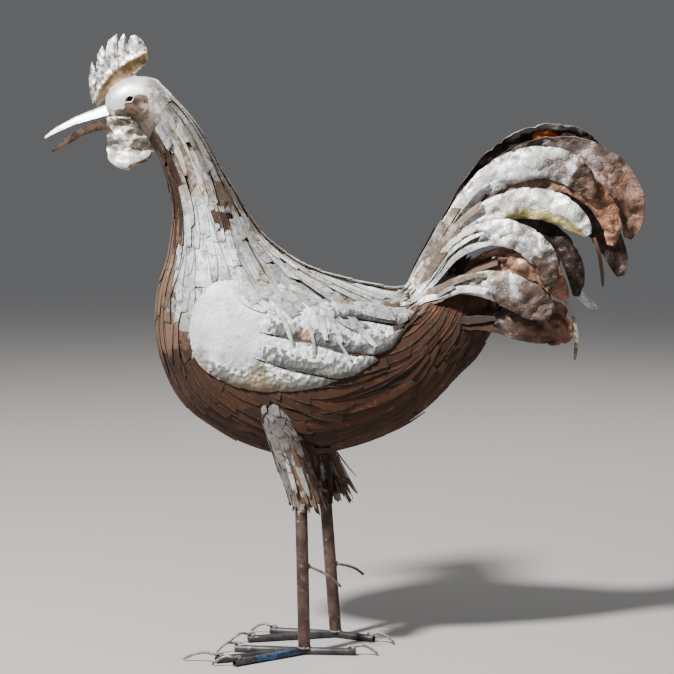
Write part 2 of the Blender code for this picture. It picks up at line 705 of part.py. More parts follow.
# --- assembly ----------------------------------------------------------------------------
def main():
    for obj in list(bpy.data.objects):
        bpy.data.objects.remove(obj, do_unlink=True)

    body()
    clad = body_guide()
    head()
    skull = head_guide()
    tree = tree_of(skull)
    folded = (folded_beak("beak_upper", UPPER_BEAK, 1, PALE_ZINC),
              folded_beak("beak_lower", LOWER_BEAK, -1, RUST), comb(),
              wattle(LEFT), wattle(RIGHT))
    for piece in folded:
        cut(piece, skull)
    for side in (LEFT, RIGHT):
        eye(side, tree)
        wing(side)
        thigh(side, clad)
        cut(fringe(side), clad)
    for number, row in enumerate(TAIL_FEATHERS, 1):
        tail_feather(number, row)
    for side, drop in ((LEFT, 0.0), (RIGHT, 0.011)):
        plan = FEET[side_name(side)]
        foot(side, plan)
        leg(side, plan, THIGH_RINGS[-1][2] - drop)


main()
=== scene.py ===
"""Dresses the welded scrap-metal rooster: sheet strips over the body, hammered wings, crumpled
tail feathers, cupped comb, wattles, beak, shingled thighs with rusty tatters, and pipe legs and
feet with their welds. The bird looks along -X and its left side faces -Y. Metres, +Z up."""

import math

import bpy
import numpy as np
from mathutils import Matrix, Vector, noise


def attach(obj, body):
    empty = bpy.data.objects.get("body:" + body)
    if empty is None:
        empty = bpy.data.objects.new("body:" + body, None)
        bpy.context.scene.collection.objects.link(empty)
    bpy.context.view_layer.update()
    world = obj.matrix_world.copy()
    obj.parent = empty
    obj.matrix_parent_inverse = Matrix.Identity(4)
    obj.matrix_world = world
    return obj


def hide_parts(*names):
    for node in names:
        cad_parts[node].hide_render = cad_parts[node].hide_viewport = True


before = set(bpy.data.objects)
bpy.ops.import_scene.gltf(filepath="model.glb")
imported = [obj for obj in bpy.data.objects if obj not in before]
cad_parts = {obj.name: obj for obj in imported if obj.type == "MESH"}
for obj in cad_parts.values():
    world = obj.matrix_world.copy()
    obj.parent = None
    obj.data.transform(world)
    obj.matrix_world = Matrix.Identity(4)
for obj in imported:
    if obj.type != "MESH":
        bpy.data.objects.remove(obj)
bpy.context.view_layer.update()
LEFT, RIGHT = -1, 1
SIDE_NAME = {LEFT: "left", RIGHT: "right"}


# --- shared shapes, with the same named values as the solids -------------------------------
# Ribs of the body: back edge (x, z), front or belly edge (x, z), half width.
BODY_RIBS = np.array([
    (-0.406, 1.246, -0.441, 1.147, 0.040),
    (-0.329, 1.160, -0.399, 1.080, 0.048),
    (-0.254, 1.030, -0.373, 0.978, 0.062),
    (-0.180, 0.915, -0.381, 0.876, 0.088),
    (-0.089, 0.847, -0.408, 0.771, 0.115),
    (-0.004, 0.818, -0.398, 0.643, 0.137),
    (0.057, 0.804, -0.318, 0.519, 0.142),
    (0.101, 0.796, -0.120, 0.434, 0.138),
    (0.127, 0.797, 0.110, 0.493, 0.108),
    (0.138, 0.801, 0.257, 0.625, 0.076),
    (0.142, 0.806, 0.291, 0.672, 0.066),
])
HEAD_RIBS = np.array([
    (-0.406, 1.246, -0.441, 1.147, 0.041),
    (-0.430, 1.254, -0.458, 1.157, 0.043),
    (-0.458, 1.255, -0.478, 1.160, 0.043),
    (-0.482, 1.249, -0.494, 1.162, 0.039),
    (-0.503, 1.235, -0.507, 1.167, 0.030),
    (-0.516, 1.216, -0.515, 1.180, 0.015),
])
EYE = (-0.4622, 1.2085)
EYE_HOLE = (0.0076, 0.0058)
EYE_RIM = (0.0106, 0.0084)
EYE_TILT = math.radians(28)

# Tail feathers, near side to far side: place down the rump, root y, yaw, heading at the root
# and at the tip, length, lateness of the bend, greatest half width.
TAIL_FEATHERS = (
    (0.28, -0.050, -26, 57, -39, 0.305, 0.60, 0.039),
    (0.62, -0.044, -20, 8, -8, 0.270, 0.62, 0.030),
    (0.18, -0.038, -16, 65, -103, 0.415, 1.63, 0.031),
    (0.45, -0.031, -13, 64, -66, 0.345, 1.26, 0.026),
    (0.10, -0.024, -10, 59, -60, 0.475, 1.85, 0.034),
    (0.35, -0.017, -7, 88, -100, 0.520, 1.20, 0.023),
    (0.04, -0.010, -4, 61, -78, 0.550, 2.66, 0.036),
    (0.16, -0.003, -1, 62, -104, 0.623, 2.13, 0.029),
    (0.10, 0.004, 1, 66, -112, 0.742, 2.02, 0.037),
    (0.03, 0.011, 4, 61, -55, 0.585, 2.80, 0.037),
    (0.22, 0.018, 7, 88, -83, 0.660, 1.05, 0.034),
    (0.12, 0.025, 11, 62, -78, 0.560, 1.90, 0.033),
    (0.45, 0.032, 14, 64, -70, 0.360, 1.30, 0.026),
    (0.18, 0.039, 17, 64, -95, 0.440, 1.60, 0.032),
    (0.60, 0.045, 21, 12, -10, 0.290, 0.70, 0.032),
    (0.28, 0.051, 27, 58, -60, 0.360, 0.80, 0.037),
)
FEATHER_ROOT = 0.013
RUMP_TOP = Vector((BODY_RIBS[-1][0], 0, BODY_RIBS[-1][1]))
RUMP_FOOT = Vector((BODY_RIBS[-1][2], 0, BODY_RIBS[-1][3]))
RUMP_OUT = Vector((RUMP_TOP.z - RUMP_FOOT.z, 0, RUMP_FOOT.x - RUMP_TOP.x)).normalized()

WING_CENTRE = (-0.105, 0.655)
WING_OUT = 0.1500
WING_BEND = (0.67, 1.49)
WING_TWIST = 0.87
WING_FLARE = 1.15
SLIT = 0.003                    # between the fingers
WING_OUTLINE = (
    (-0.333, 0.719), (-0.327, 0.760), (-0.311, 0.791), (-0.287, 0.815), (-0.255, 0.826),
    (-0.181, 0.822), (-0.118, 0.807), (-0.069, 0.793), (-0.020, 0.773), (0.040, 0.768),
    (0.100, 0.774), (0.148, 0.775), (0.158, 0.766), (0.151, 0.749), (0.117, 0.727),
)
LOBE_EDGE = ((0.060, 0.737), (0.010, 0.745), (-0.040, 0.748))
FINGER_1_TIP = (0.132, 0.718)
FINGER_1_EDGE = ((0.100, 0.679), (0.062, 0.667), (0.002, 0.672), (-0.058, 0.690),
                 (-0.104, 0.701), (-0.182, 0.717))
FINGER_2_TIP = (0.073, 0.655)
FINGER_2_EDGE = ((0.019, 0.622), (-0.013, 0.617), (-0.062, 0.626), (-0.126, 0.640),
                 (-0.196, 0.663))
FINGER_3_TIP = (-0.014, 0.613)
WING_BELLY = ((-0.051, 0.599), (-0.105, 0.590), (-0.175, 0.587), (-0.236, 0.597),
              (-0.297, 0.629), (-0.325, 0.668))

COMB_POINTS = (
    (-0.545, 1.196), (-0.551, 1.222), (-0.553, 1.251), (-0.546, 1.287), (-0.537, 1.266),
    (-0.534, 1.303), (-0.523, 1.322), (-0.517, 1.306), (-0.510, 1.333), (-0.492, 1.347),
    (-0.496, 1.317), (-0.484, 1.337), (-0.476, 1.348), (-0.469, 1.324), (-0.461, 1.342),
    (-0.452, 1.345), (-0.438, 1.334), (-0.4285, 1.317),
)
COMB_CREASE = ((-0.541, 1.202), (-0.513, 1.249), (-0.474, 1.281), (-0.4265, 1.308))
COMB_RIM = ((-0.534, 1.192), (-0.500, 1.229), (-0.464, 1.254), (-0.436, 1.278))

UPPER_BEAK = ((-0.508, 1.200, 1.174, 0.017), (-0.539, 1.187, 1.166, 0.014),
              (-0.579, 1.171, 1.154, 0.010), (-0.621, 1.149, 1.137, 0.006),
              (-0.650, 1.127, 1.122, 0.002))
LOWER_BEAK = ((-0.506, 1.141, 1.163, 0.015), (-0.529, 1.139, 1.161, 0.013),
              (-0.560, 1.132, 1.151, 0.010), (-0.596, 1.113, 1.129, 0.006),
              (-0.635, 1.093, 1.097, 0.002))

THIGH_RINGS = np.array([
    (-0.160, 0.103, 0.600, 0.020, 0.014),
    (-0.154, 0.103, 0.555, 0.030, 0.024),
    (-0.137, 0.098, 0.503, 0.031, 0.026),
    (-0.119, 0.089, 0.445, 0.030, 0.026),
    (-0.105, 0.083, 0.392, 0.025, 0.022),
    (-0.095, 0.079, 0.338, 0.0165, 0.0165),
])
STRIDE = 0.0515
FEET = {
    LEFT: {"ankle": (-0.0885, -0.078), "top": (-0.095, -0.079), "drop": 0.0,
           "toes": (("middle", 23.1, 0.206, (-0.350, -0.137)),
                    ("outer", 36.5, 0.185, (-0.285, -0.183)),
                    ("inner", -7.8, 0.154, (-0.280, -0.071)),
                    ("back", 174.9, 0.113, (0.072, -0.094))),
           "spur": (0.195, -0.008, 0.150)},
    RIGHT: {"ankle": (-0.0205, 0.078), "top": (-0.0435, 0.079), "drop": 0.011,
            "toes": (("middle", 14.1, 0.201, (-0.258, 0.013)),
                     ("outer", -12.2, 0.151, (-0.211, 0.126)),
                     ("back", 150.9, 0.098, (0.110, 0.008))),
            "spur": (0.168, 0.043, 0.143)},
}
LEG_PIPE, LEG_WALL = 0.0269, 0.0026
TOE_PIPE, TOE_WALL = 0.016, 0.002
WIRE = 0.006
WING_SHEET = 0.0016
FEATHER_SHEET = 0.0014
HEAD_SHEET = 0.0014
COMB_SHEET = 0.0017
WATTLE_SHEET = 0.0016
BEAK_SHEET = 0.0013
WELD_GAP = 0.0003               # left between neighbouring pieces where they are welded


def spline(rows, t):
    """Rows at t along a smooth curve through all rows; t runs from 0 to 1 and may be an array."""
    rows = np.asarray(rows, float)
    last = len(rows) - 1
    place = np.clip(np.asarray(t, float), 0, 1) * last
    i = np.minimum(place.astype(int), last - 1)
    f = (place - i)[..., None]
    p0, p1, p2, p3 = (rows[np.clip(i + k, 0, last)] for k in (-1, 0, 1, 2))
    return 0.5 * (2 * p1 + (p2 - p0) * f + (2 * p0 - 5 * p1 + 4 * p2 - p3) * f * f
                  + (3 * p1 - p0 - 3 * p2 + p3) * f ** 3)


def smooth(edge0, edge1, value):
    """0 before edge0, 1 after edge1, eased between; a plain number for a plain number."""
    f = np.clip((value - edge0) / (edge1 - edge0), 0.0, 1.0)
    eased = f * f * (3 - 2 * f)
    return eased if np.ndim(eased) else float(eased)


def unit(vectors):
    """The same directions at length 1."""
    return vectors / np.linalg.norm(vectors, axis=-1, keepdims=True)


# --- finishes ------------------------------------------------------------------------------
class Value:
    """A number in a finish. Sums and products of values add the nodes that work them out."""

    def __init__(self, finish, socket):
        self.finish = finish
        self.socket = socket

    def work_out(self, operation, first, second):
        node = self.finish.node("ShaderNodeMath", {"operation": operation}, {0: first, 1: second})
        return self.finish.number(node, 0)

    def __add__(self, other):
        return self.work_out("ADD", self, other)

    def __sub__(self, other):
        return self.work_out("SUBTRACT", self, other)

    def __rsub__(self, other):
        return self.work_out("SUBTRACT", other, self)

    def __mul__(self, other):
        return self.work_out("MULTIPLY", self, other)

    __radd__ = __add__
    __rmul__ = __mul__

    def above(self, low, high):
        """0 below low, 1 above high, eased between."""
        node = self.finish.node("ShaderNodeMapRange", {"interpolation_type": 'SMOOTHSTEP'},
                                {"Value": self, "From Min": low, "From Max": high})
        return self.finish.number(node, "Result")


class Finish:
    """A material, the nodes it is mixed from, and the colour mixed so far."""

    def __init__(self, name):
        self.material = bpy.data.materials.new(name)
        self.material.use_nodes = True
        self.tree = self.material.node_tree
        self.shader = self.tree.nodes["Principled BSDF"]
        self.place = self.node("ShaderNodeTexCoord").outputs["Object"]
        self.x, _, self.z = self.split(self.place)
        self.base = None

    def node(self, kind, settings=None, sockets=None):
        """Any node: its type, its settings, then the values or links of its sockets."""
        node = self.tree.nodes.new(kind)
        for key, value in (settings or {}).items():
            setattr(node, key, value)
        for key, value in (sockets or {}).items():
            self.feed(node.inputs[key], value)
        return node

    def feed(self, slot, value):
        if isinstance(value, Value):
            self.tree.links.new(value.socket, slot)
        elif isinstance(value, bpy.types.NodeSocket):
            self.tree.links.new(value, slot)
        elif isinstance(value, tuple) and slot.type == 'RGBA':
            slot.default_value = (*value, 1.0)
        else:
            slot.default_value = value

    def number(self, node, output):
        """One of a node's outputs, as a value to reckon with."""
        return Value(self, node.outputs[output])

    def split(self, socket, kind="XYZ"):
        """The three numbers of a vector or a colour."""
        node = self.node("ShaderNodeSeparate" + kind, sockets={0: socket})
        return [Value(self, output) for output in node.outputs]

    def noise(self, scale, detail=4.0, stretch=None):
        """Cloudy noise from 0 to 1 with features about 1/scale metres across."""
        place = self.place
        if stretch:
            mapped = self.node("ShaderNodeMapping", sockets={"Vector": place, "Scale": stretch})
            place = mapped.outputs[0]
        return self.number(self.node("ShaderNodeTexNoise", sockets={
            "Vector": place, "Scale": scale, "Detail": detail, "Roughness": 0.6}), 0)

    def pits(self, scale, size, where):
        """1 in small scattered pits, only where the other value is high."""
        dots = self.number(self.node("ShaderNodeTexVoronoi", sockets={
            "Vector": self.place, "Scale": scale}), "Distance")
        return (1 - dots.above(size * 0.6, size)) * where

    def distance(self, centre, stretch):
        """How far away the centre is, with x, y and z stretched."""
        vector = self.place
        for operation, term in (('SUBTRACT', centre), ('MULTIPLY', stretch)):
            node = self.node("ShaderNodeVectorMath", {"operation": operation}, {0: vector, 1: term})
            vector = node.outputs[0]
        length = self.node("ShaderNodeVectorMath", {"operation": 'LENGTH'}, {0: vector})
        return self.number(length, "Value")

    def near(self, centre, radius, stretch=(1, 1, 1)):
        """1 at the centre, easing to 0 at the radius."""
        return 1 - self.distance(centre, stretch).above(radius * 0.25, radius)

    def sheet_place(self):
        """Along and across a piece of sheet, each from 0 to 1, and its rim: 0 along the middle
        and 1 along both edges."""
        flat = self.node("ShaderNodeUVMap", {"uv_map": "UVMap"})
        along, across, _ = self.split(flat.outputs[0])
        return along, across, (across - 0.5) * (across - 0.5) * 4

    def relief(self):
        """How proud the sheet is: 0 in its hollows and 1 on its crests."""
        return self.number(self.node("ShaderNodeAttribute", {"attribute_name": "relief"}), "Fac")

    def patina(self):
        """Rust, stain and brightness of a strip, as given when it was cut."""
        made = self.node("ShaderNodeAttribute", {"attribute_name": "patina"})
        return self.split(made.outputs["Color"], "Color")

    def mix(self, mask, first, second):
        """A colour between two; each is a colour or a colour's socket."""
        return self.node("ShaderNodeMix", {"data_type": 'RGBA'},
                         {0: mask, 6: first, 7: second}).outputs[2]

    def lay(self, mask, tone):
        """Lay a tone over the colour so far, as far as the mask lets it."""
        self.base = self.mix(mask, self.base, tone)

    def shade(self, base, amount):
        """A colour darkened or lightened; 1 leaves it alone."""
        grey = self.node("ShaderNodeCombineColor", sockets={0: amount, 1: amount, 2: amount})
        return self.node("ShaderNodeMix", {"data_type": 'RGBA', "blend_type": 'MULTIPLY'},
                         {0: 1.0, 6: base, 7: grey.outputs[0]}).outputs[2]

    def finish(self, roughness, metallic, height, depth):
        """Connect the colour and the bump, whose height is in shares of the depth."""
        bump = self.node("ShaderNodeBump", sockets={"Height": height, "Distance": depth,
                                                    "Strength": 1.0})
        for name, value in (("Base Color", self.base), ("Roughness", roughness),
                            ("Metallic", metallic), ("Normal", bump.outputs[0])):
            self.feed(self.shader.inputs[name], value)
        return self.material


ZINC = (0.43, 0.445, 0.46)
BRIGHT_ZINC = (0.76, 0.775, 0.79)
DULL_ZINC = (0.17, 0.16, 0.15)
CREAM = (0.50, 0.435, 0.34)
STAIN = (0.105, 0.068, 0.047)
RUST = (0.088, 0.033, 0.015)
DARK_RUST = (0.018, 0.0085, 0.005)
GREY_RUST = (0.145, 0.088, 0.058)
ORANGE_RUST = (0.23, 0.070, 0.026)
OLIVE = (0.19, 0.17, 0.085)
# Dark seam tone: grime, and painted shadow of the gaps between strips.
SEAM_GRIME_AND_SHADOW = (0.030, 0.022, 0.017)
BLACK = (0.02, 0.018, 0.016)


def toned(colour, share, more=0.0, most=1.0):
    """A share of a colour and a little more, no brighter than most."""
    return tuple(min(share * c + more, most) for c in colour)


def strip_finish(name, dull=ZINC, bright=BRIGHT_ZINC):
    """For every strip of sheet: its own patina between bare sheet, brown stain and rust, with dark
    seams along its edges and tail end, partly grime and partly painted shadow of the gaps."""
    f = Finish(name)
    rust, stain, tint = f.patina()
    along, _, rim = f.sheet_place()
    cloud, mottle, fine, grain = f.noise(16, 5), f.noise(46, 5), f.noise(95, 4), f.noise(190, 3)
    f.base = f.mix(mottle.above(0.40, 0.60), dull, bright)
    f.lay(fine.above(0.53, 0.64) * 0.75, DULL_ZINC)
    f.base = f.shade(f.base, tint * 0.30 + 0.72)
    stained = stain + (cloud - 0.5) * 1.1 + (mottle - 0.5) * 1.2 + (fine - 0.5) * 0.7
    f.lay(stained.above(0.38, 0.62) * 0.85, f.shade(CREAM, tint * 0.5 + 0.55))
    f.lay(stained.above(0.62, 0.80) * 0.85, STAIN)
    pale = f.base
    f.base = f.mix(tint * 0.8 + (cloud - 0.5) * 0.9, DARK_RUST, RUST)
    f.lay((stain + (mottle - 0.5)).above(0.45, 0.80) * 0.85, GREY_RUST)
    flecks = (f.noise(38, 4) + (fine - 0.5) * 0.3).above(0.57, 0.67) * tint.above(0.40, 0.85)
    f.lay(flecks * 0.75, ORANGE_RUST)
    f.lay(rim.above(0.55, 0.78) * fine.above(0.42, 0.60) * 0.35, GREY_RUST)
    rusty = (rust + (cloud - 0.5) * 0.9 + (mottle - 0.5) * 0.7).above(0.42, 0.58)
    f.base = f.mix(rusty, pale, f.base)
    f.lay(f.pits(95, 0.12, f.noise(30, 2).above(0.54, 0.62)) * (1 - rusty), BLACK)
    # Dark lines along the edges and the tail end: grime, and painted shadow of the gaps between strips.
    seam_grime_and_shadow = rim.above(0.80, 0.97) * (mottle.above(0.36, 0.56) * 0.65 + 0.25)
    f.lay(seam_grime_and_shadow + along.above(0.94, 1.0) * 0.4, SEAM_GRIME_AND_SHADOW)
    f.shader.inputs["Specular IOR Level"].default_value = 0.3
    return f.finish(0.40 + rusty * 0.28 + grain * 0.18, 0.50 - rusty * 0.42,
                    cloud * 0.4 + mottle * 0.5 + grain * 0.2, 0.0012)


# Stains and darker patches of a wing: middle (x, z), reach, stretch, tone and strength.
WING_PATCHES = (
    (-0.184, 0.628, 0.042, (1.2, 1, 1), OLIVE, 1.15),
    (-0.189, 0.605, 0.028, (1, 1, 1), (0.40, 0.22, 0.15), 1.1),
    (-0.085, 0.709, 0.017, (1, 1, 1), (0.55, 0.30, 0.20), 1.1),
    (-0.122, 0.729, 0.050, (0.8, 1, 2.6), (0.15, 0.13, 0.11), 0.95),
    # A long olive-brown band, darker along the wing's bottom edge.
    (-0.200, 0.596, 0.150, (0.9, 0.4, 4.2), (0.17, 0.135, 0.09), 1.1),
    (-0.310, 0.650, 0.050, (1.4, 0.4, 0.8), (0.27, 0.25, 0.20), 1.0),
    (0.020, 0.770, 0.120, (1, 0.4, 7.0), (0.34, 0.31, 0.26), 0.6),
)


def wing_finish():
    """Hammered galvanised sheet, bright on the shoulder, with painted shade on the turned-down lower
    edges, in the dents and towards the bottom, and a few brown and olive stains and darker patches.
    """
    f = Finish("hammered wing")
    large, blows, fine = f.noise(13, 4), f.noise(85, 4), f.noise(240, 3)
    f.base = f.mix(large.above(0.36, 0.60), (0.60, 0.63, 0.66), (0.84, 0.86, 0.88))
    # Painted shade: dark grey where each feather is turned down under its lower edge and in the hammer's
    # dents.
    turned = 1 - (f.relief() + (blows - 0.5) * 0.8).above(0.22, 0.66)
    shade = f.mix(large.above(0.40, 0.56), (0.066, 0.063, 0.050), (0.074, 0.077, 0.080))
    f.lay(turned * 0.93, shade)
    f.lay(blows.above(0.60, 0.72) * 0.45, DULL_ZINC)
    # Darker towards the bottom of the wing: painted shade.
    low = 1 - (f.z + (large - 0.5) * 0.06).above(0.605, 0.690)
    f.lay(low * blows.above(0.40, 0.64) * 0.70, (0.20, 0.195, 0.165))
    ragged = (blows - 0.5) * 1.3 + (f.noise(30, 4) - 0.5) * 1.6
    for side in (LEFT, RIGHT):
        for x, z, reach, stretch, tone, strength in WING_PATCHES:
            patch = f.near((x, side * 0.146, z), reach, stretch) * strength + ragged
            f.lay(patch.above(0.30, 0.95) * 0.80, tone)
    f.lay(f.pits(85, 0.15, f.noise(24, 2).above(0.52, 0.60)), BLACK)
    return f.finish(0.46 + blows * 0.24, 0.36, blows + fine * 0.35, 0.0016)


def feather_finish(name, body, tip, tip_from, hollow, hem=None, root=None, root_to=0.36, spot=None,
                   crest=None):
    """Crumpled sheet: one colour for most of its length, another at the tip, a dull one painted as
    shade in the hollows and creases, and a lighter one painted as highlight on the crests; some
    have a hem of another colour along the lower edge, one at the root, a painted highlight along
    the top, or a bright orange spot at a place."""
    f = Finish(name)
    along, across, rim = f.sheet_place()
    relief = f.relief()
    cloud, fold, fine = f.noise(17, 5), f.noise(48, 4), f.noise(170, 3)
    f.base = f.mix(cloud.above(0.36, 0.50), toned(body, 0.42), body)
    # Painted shade in the hollows of the crumple.
    f.lay((0.38 - relief + (fold - 0.5) * 1.2).above(0.06, 0.30) * 0.88, hollow)
    crumple = f.noise(30, 2) - 0.5
    crease = 1 - (crumple * crumple).above(0.0, 0.0016)
    # Painted shade along the creases.
    f.lay(crease * fine.above(0.36, 0.56) * 0.4, hollow)
    # Painted highlight on the crests.
    f.lay((relief + (fold - 0.5) * 0.4).above(0.72, 0.95) * 0.5, toned(body, 1.35, 0.04, 0.9))
    late = (along + (cloud - 0.5) * 0.5 + (fold - 0.5) * 0.25).above(tip_from, tip_from + 0.14)
    f.lay(late, f.mix(fold.above(0.40, 0.62), toned(tip, 0.42), tip))
    if hem:
        edge = (1 - (across + (fold - 0.5) * 0.5).above(0.26, 0.44)) * along.above(0.30, 0.42)
        f.lay(edge, f.mix(fold.above(0.42, 0.60), toned(hem, 0.6), hem))
    if root:
        f.lay((1 - (along + (fold - 0.5) * 0.5).above(root_to - 0.20, root_to)) * 0.85, root)
    f.lay(rim.above(0.80, 1.0) * 0.35, STAIN)
    # Painted highlight: a pale band along the top edge where it catches the light.
    if crest:
        top = (across + (fold - 0.5) * 0.3).above(0.80, 0.88) * (1 - along.above(0.64, 0.72))
        f.lay(top * along.above(0.42, 0.47), crest)
    if spot:
        f.lay((f.near(*spot) * (fold + fine * 0.4)).above(0.26, 0.44), (0.55, 0.16, 0.03))
    f.lay(f.pits(130, 0.20, late * fine.above(0.40, 0.55)) * 0.6, toned(tip, 2.0, 0.02, 0.8))
    f.lay(f.pits(70, 0.14, fold.above(0.50, 0.60)) * 0.8, BLACK)
    return f.finish(0.44 + late * 0.10 + fold * 0.16, 0.44 - late * 0.12,
                    fold + fine * 0.35 - crease * 0.6, 0.0015)


# Rusty cheeks: middle (x, z), reach and stretch.
CHEEKS = (
    (-0.446, 1.184, 0.043, (0.9, 0.5, 1.1)),
    (-0.470, 1.176, 0.030, (0.7, 0.5, 1.5)),
    (-0.438, 1.204, 0.022, (0.8, 0.5, 1.0)),
)


def head_finish():
    """Smooth pale dome, dull and rusty from the eye back to the throat, with painted shade on the
    throat.
    """
    f = Finish("head sheet")
    cloud, fine, speck = f.noise(24, 4), f.noise(90, 4), f.noise(210, 3)
    f.base = f.mix(cloud.above(0.36, 0.62), (0.60, 0.61, 0.60), (0.83, 0.83, 0.81))
    f.lay(fine.above(0.60, 0.74) * 0.4, DULL_ZINC)
    tone = f.mix(fine.above(0.40, 0.62), (0.042, 0.025, 0.016), (0.140, 0.080, 0.048))
    for y in (-0.042, 0.042):
        for x, z, reach, stretch in CHEEKS:
            cheek = f.near((x, y, z), reach, stretch) + (cloud - 0.5) * 1.1 + (fine - 0.5) * 1.1
            f.lay(cheek.above(0.26, 0.58) * 0.92, tone)
        f.lay(f.near((-0.424, y, 1.192), 0.022) * fine.above(0.42, 0.58) * 0.8, (0.66, 0.48, 0.37))
    nape = (f.x + (cloud - 0.5) * 0.05).above(-0.432, -0.408)
    f.lay(nape * (f.noise(60, 5) + 0.06).above(0.42, 0.60) * 0.8, (0.20, 0.15, 0.12))
    # Darker towards the throat: painted shade under the head.
    throat = 1 - (f.z + (cloud - 0.5) * 0.05).above(1.158, 1.186)
    f.lay(throat * 0.9, (0.075, 0.048, 0.034))
    jaw = (1 - f.x.above(-0.505, -0.480)) * (1 - f.z.above(1.180, 1.200))
    f.lay(jaw * fine.above(0.40, 0.60) * 0.7, (0.24, 0.20, 0.165))
    return f.finish(0.36 + fine * 0.18, 0.52, cloud * 0.6 + fine * 0.4 + speck * 0.2, 0.0014)


def comb_finish():
    """White speckled points above a golden-brown gutter, partly painted shade, with a pale rim."""
    f = Finish("comb sheet")
    across = f.sheet_place()[1]
    cloud, fine = f.noise(38, 4), f.noise(120, 3)
    f.base = f.mix(cloud.above(0.38, 0.60), (0.60, 0.59, 0.56), (0.90, 0.89, 0.87))
    f.lay((0.60 - f.relief()).above(0.0, 0.35) * 0.85, (0.14, 0.125, 0.11))
    f.lay(f.noise(75, 3).above(0.55, 0.61) * 0.9, (0.11, 0.095, 0.08))
    # Golden-brown gutter: partly its own tone and partly painted shade where it faces down, darkest by
    # the crease and lighter towards the rim, which stays pale.
    gutter = (across + (cloud - 0.5) * 0.16).above(0.50, 0.62) - across.above(0.91, 0.96)
    gold = (cloud + (across - 0.75) * 0.8).above(0.40, 0.62)
    f.lay(gutter, f.mix(gold, (0.10, 0.058, 0.025), (0.31, 0.210, 0.115)))
    root = 1 - (f.z + (fine - 0.5) * 0.03).above(1.205, 1.240)
    f.lay(root * 0.55, (0.27, 0.22, 0.16))
    return f.finish(0.36 + fine * 0.2, 0.55, cloud + fine * 0.5, 0.0020)


def wattle_finish(name, low_light, low_dark):
    """Hammered sheet with broad olive and brown bands over a lower end in given tones, painted dark as
    shade on the right wattle.
    """
    f = Finish(name)
    cloud, fine = f.noise(40, 3, (0.8, 1, 1.4)), f.noise(130, 3)
    proud = (cloud + (f.relief() - 0.5) * 0.4).above(0.42, 0.58)
    f.base = f.mix(proud, (0.30, 0.275, 0.24), (0.88, 0.87, 0.85))
    blotches = f.noise(24, 2, (0.8, 0.4, 1.5))
    tone = f.mix(fine.above(0.4, 0.6), (0.036, 0.027, 0.014), (0.085, 0.066, 0.040))
    for middle, spread in ((1.156, 0.012), (1.139, 0.009), (1.111, 0.014)):
        band = 1 - (f.z - middle) * (f.z - middle) * (1 / spread ** 2)
        f.lay((band + (blotches - 0.5) * 5.0).above(0.15, 0.60) * 0.92, tone)
    low = 1 - (f.z + (cloud - 0.5) * 0.04).above(1.084, 1.096)
    f.lay(low, f.mix(cloud.above(0.25, 0.45), low_dark, low_light))
    return f.finish(0.34 + fine * 0.16, 0.55, cloud + fine * 0.4, 0.0026)


def plain_finish(name, light, dark, scale=40.0, roughness=0.45, metallic=0.5, grain=0.0010):
    """Two tones of one metal, mottled."""
    f = Finish(name)
    cloud, fine = f.noise(scale, 5), f.noise(scale * 5, 3)
    f.base = f.mix((cloud + (fine - 0.5) * 0.4).above(0.38, 0.64), dark, light)
    return f.finish(roughness + fine * 0.14 - 0.07, metallic, cloud * 0.5 + fine * 0.5, grain)


def pipe_finish(name, light, dark, speck, paint=None):
    """Bare pipe with a few scale spots, and blue paint left between two places along x."""
    f = Finish(name)
    cloud, fine = f.noise(34, 4), f.noise(260, 3)
    f.base = f.mix(cloud.above(0.38, 0.62), dark, light)
    f.lay(f.pits(55, 0.22, f.noise(12, 2).above(0.48, 0.58)), speck)
    f.lay(f.noise(80, 4).above(0.60, 0.72) * 0.5, speck)
    if paint:
        place = f.x + (f.noise(60, 4) - 0.5) * 0.03
        band = place.above(paint[0] - 0.006, paint[0]) * (1 - place.above(paint[1], paint[1] + 0.012))
        blue = f.mix(cloud.above(0.4, 0.6), (0.025, 0.065, 0.15), (0.045, 0.125, 0.29))
        f.lay(band * f.noise(90, 5).above(0.42, 0.54), blue)
    return f.finish(0.40 + fine * 0.18, 0.45, cloud * 0.4 + fine * 0.6, 0.0006)


# --- making and placing pieces -------------------------------------------------------------
def deselect():
    if bpy.context.object and bpy.context.object.mode != 'OBJECT':
        bpy.ops.object.mode_set(mode='OBJECT')
    bpy.ops.object.select_all(action='DESELECT')


def pick(*objects):
    """Select these objects alone, the first one active."""
    deselect()
    for obj in objects:
        obj.select_set(True)
    bpy.context.view_layer.objects.active = objects[0]


def modify(obj, kind, **settings):
    """Add a modifier and apply it at once."""
    modifier = obj.modifiers.new(kind.lower(), kind)
    for key, value in settings.items():
        setattr(modifier, key, value)
    pick(obj)
    bpy.ops.object.modifier_apply(modifier=modifier.name)


def outward(obj):
    """Merge doubles and turn every face outwards."""
    pick(obj)
    bpy.ops.object.mode_set(mode='EDIT')
    bpy.ops.mesh.select_all(action='SELECT')
    bpy.ops.mesh.remove_doubles(threshold=1e-6)
    bpy.ops.mesh.normals_make_consistent(inside=False)
    bpy.ops.object.mode_set(mode='OBJECT')


def round_off(obj, degrees=35):
    """Shade bends smooth up to so many degrees."""
    pick(obj)
    bpy.ops.object.shade_smooth_by_angle(angle=math.radians(degrees))


def primitive(add, name, **settings):
    """What one of Blender's own add commands makes, under a name."""
    deselect()
    add(**settings)
    obj = bpy.context.object
    obj.name = name
    return obj


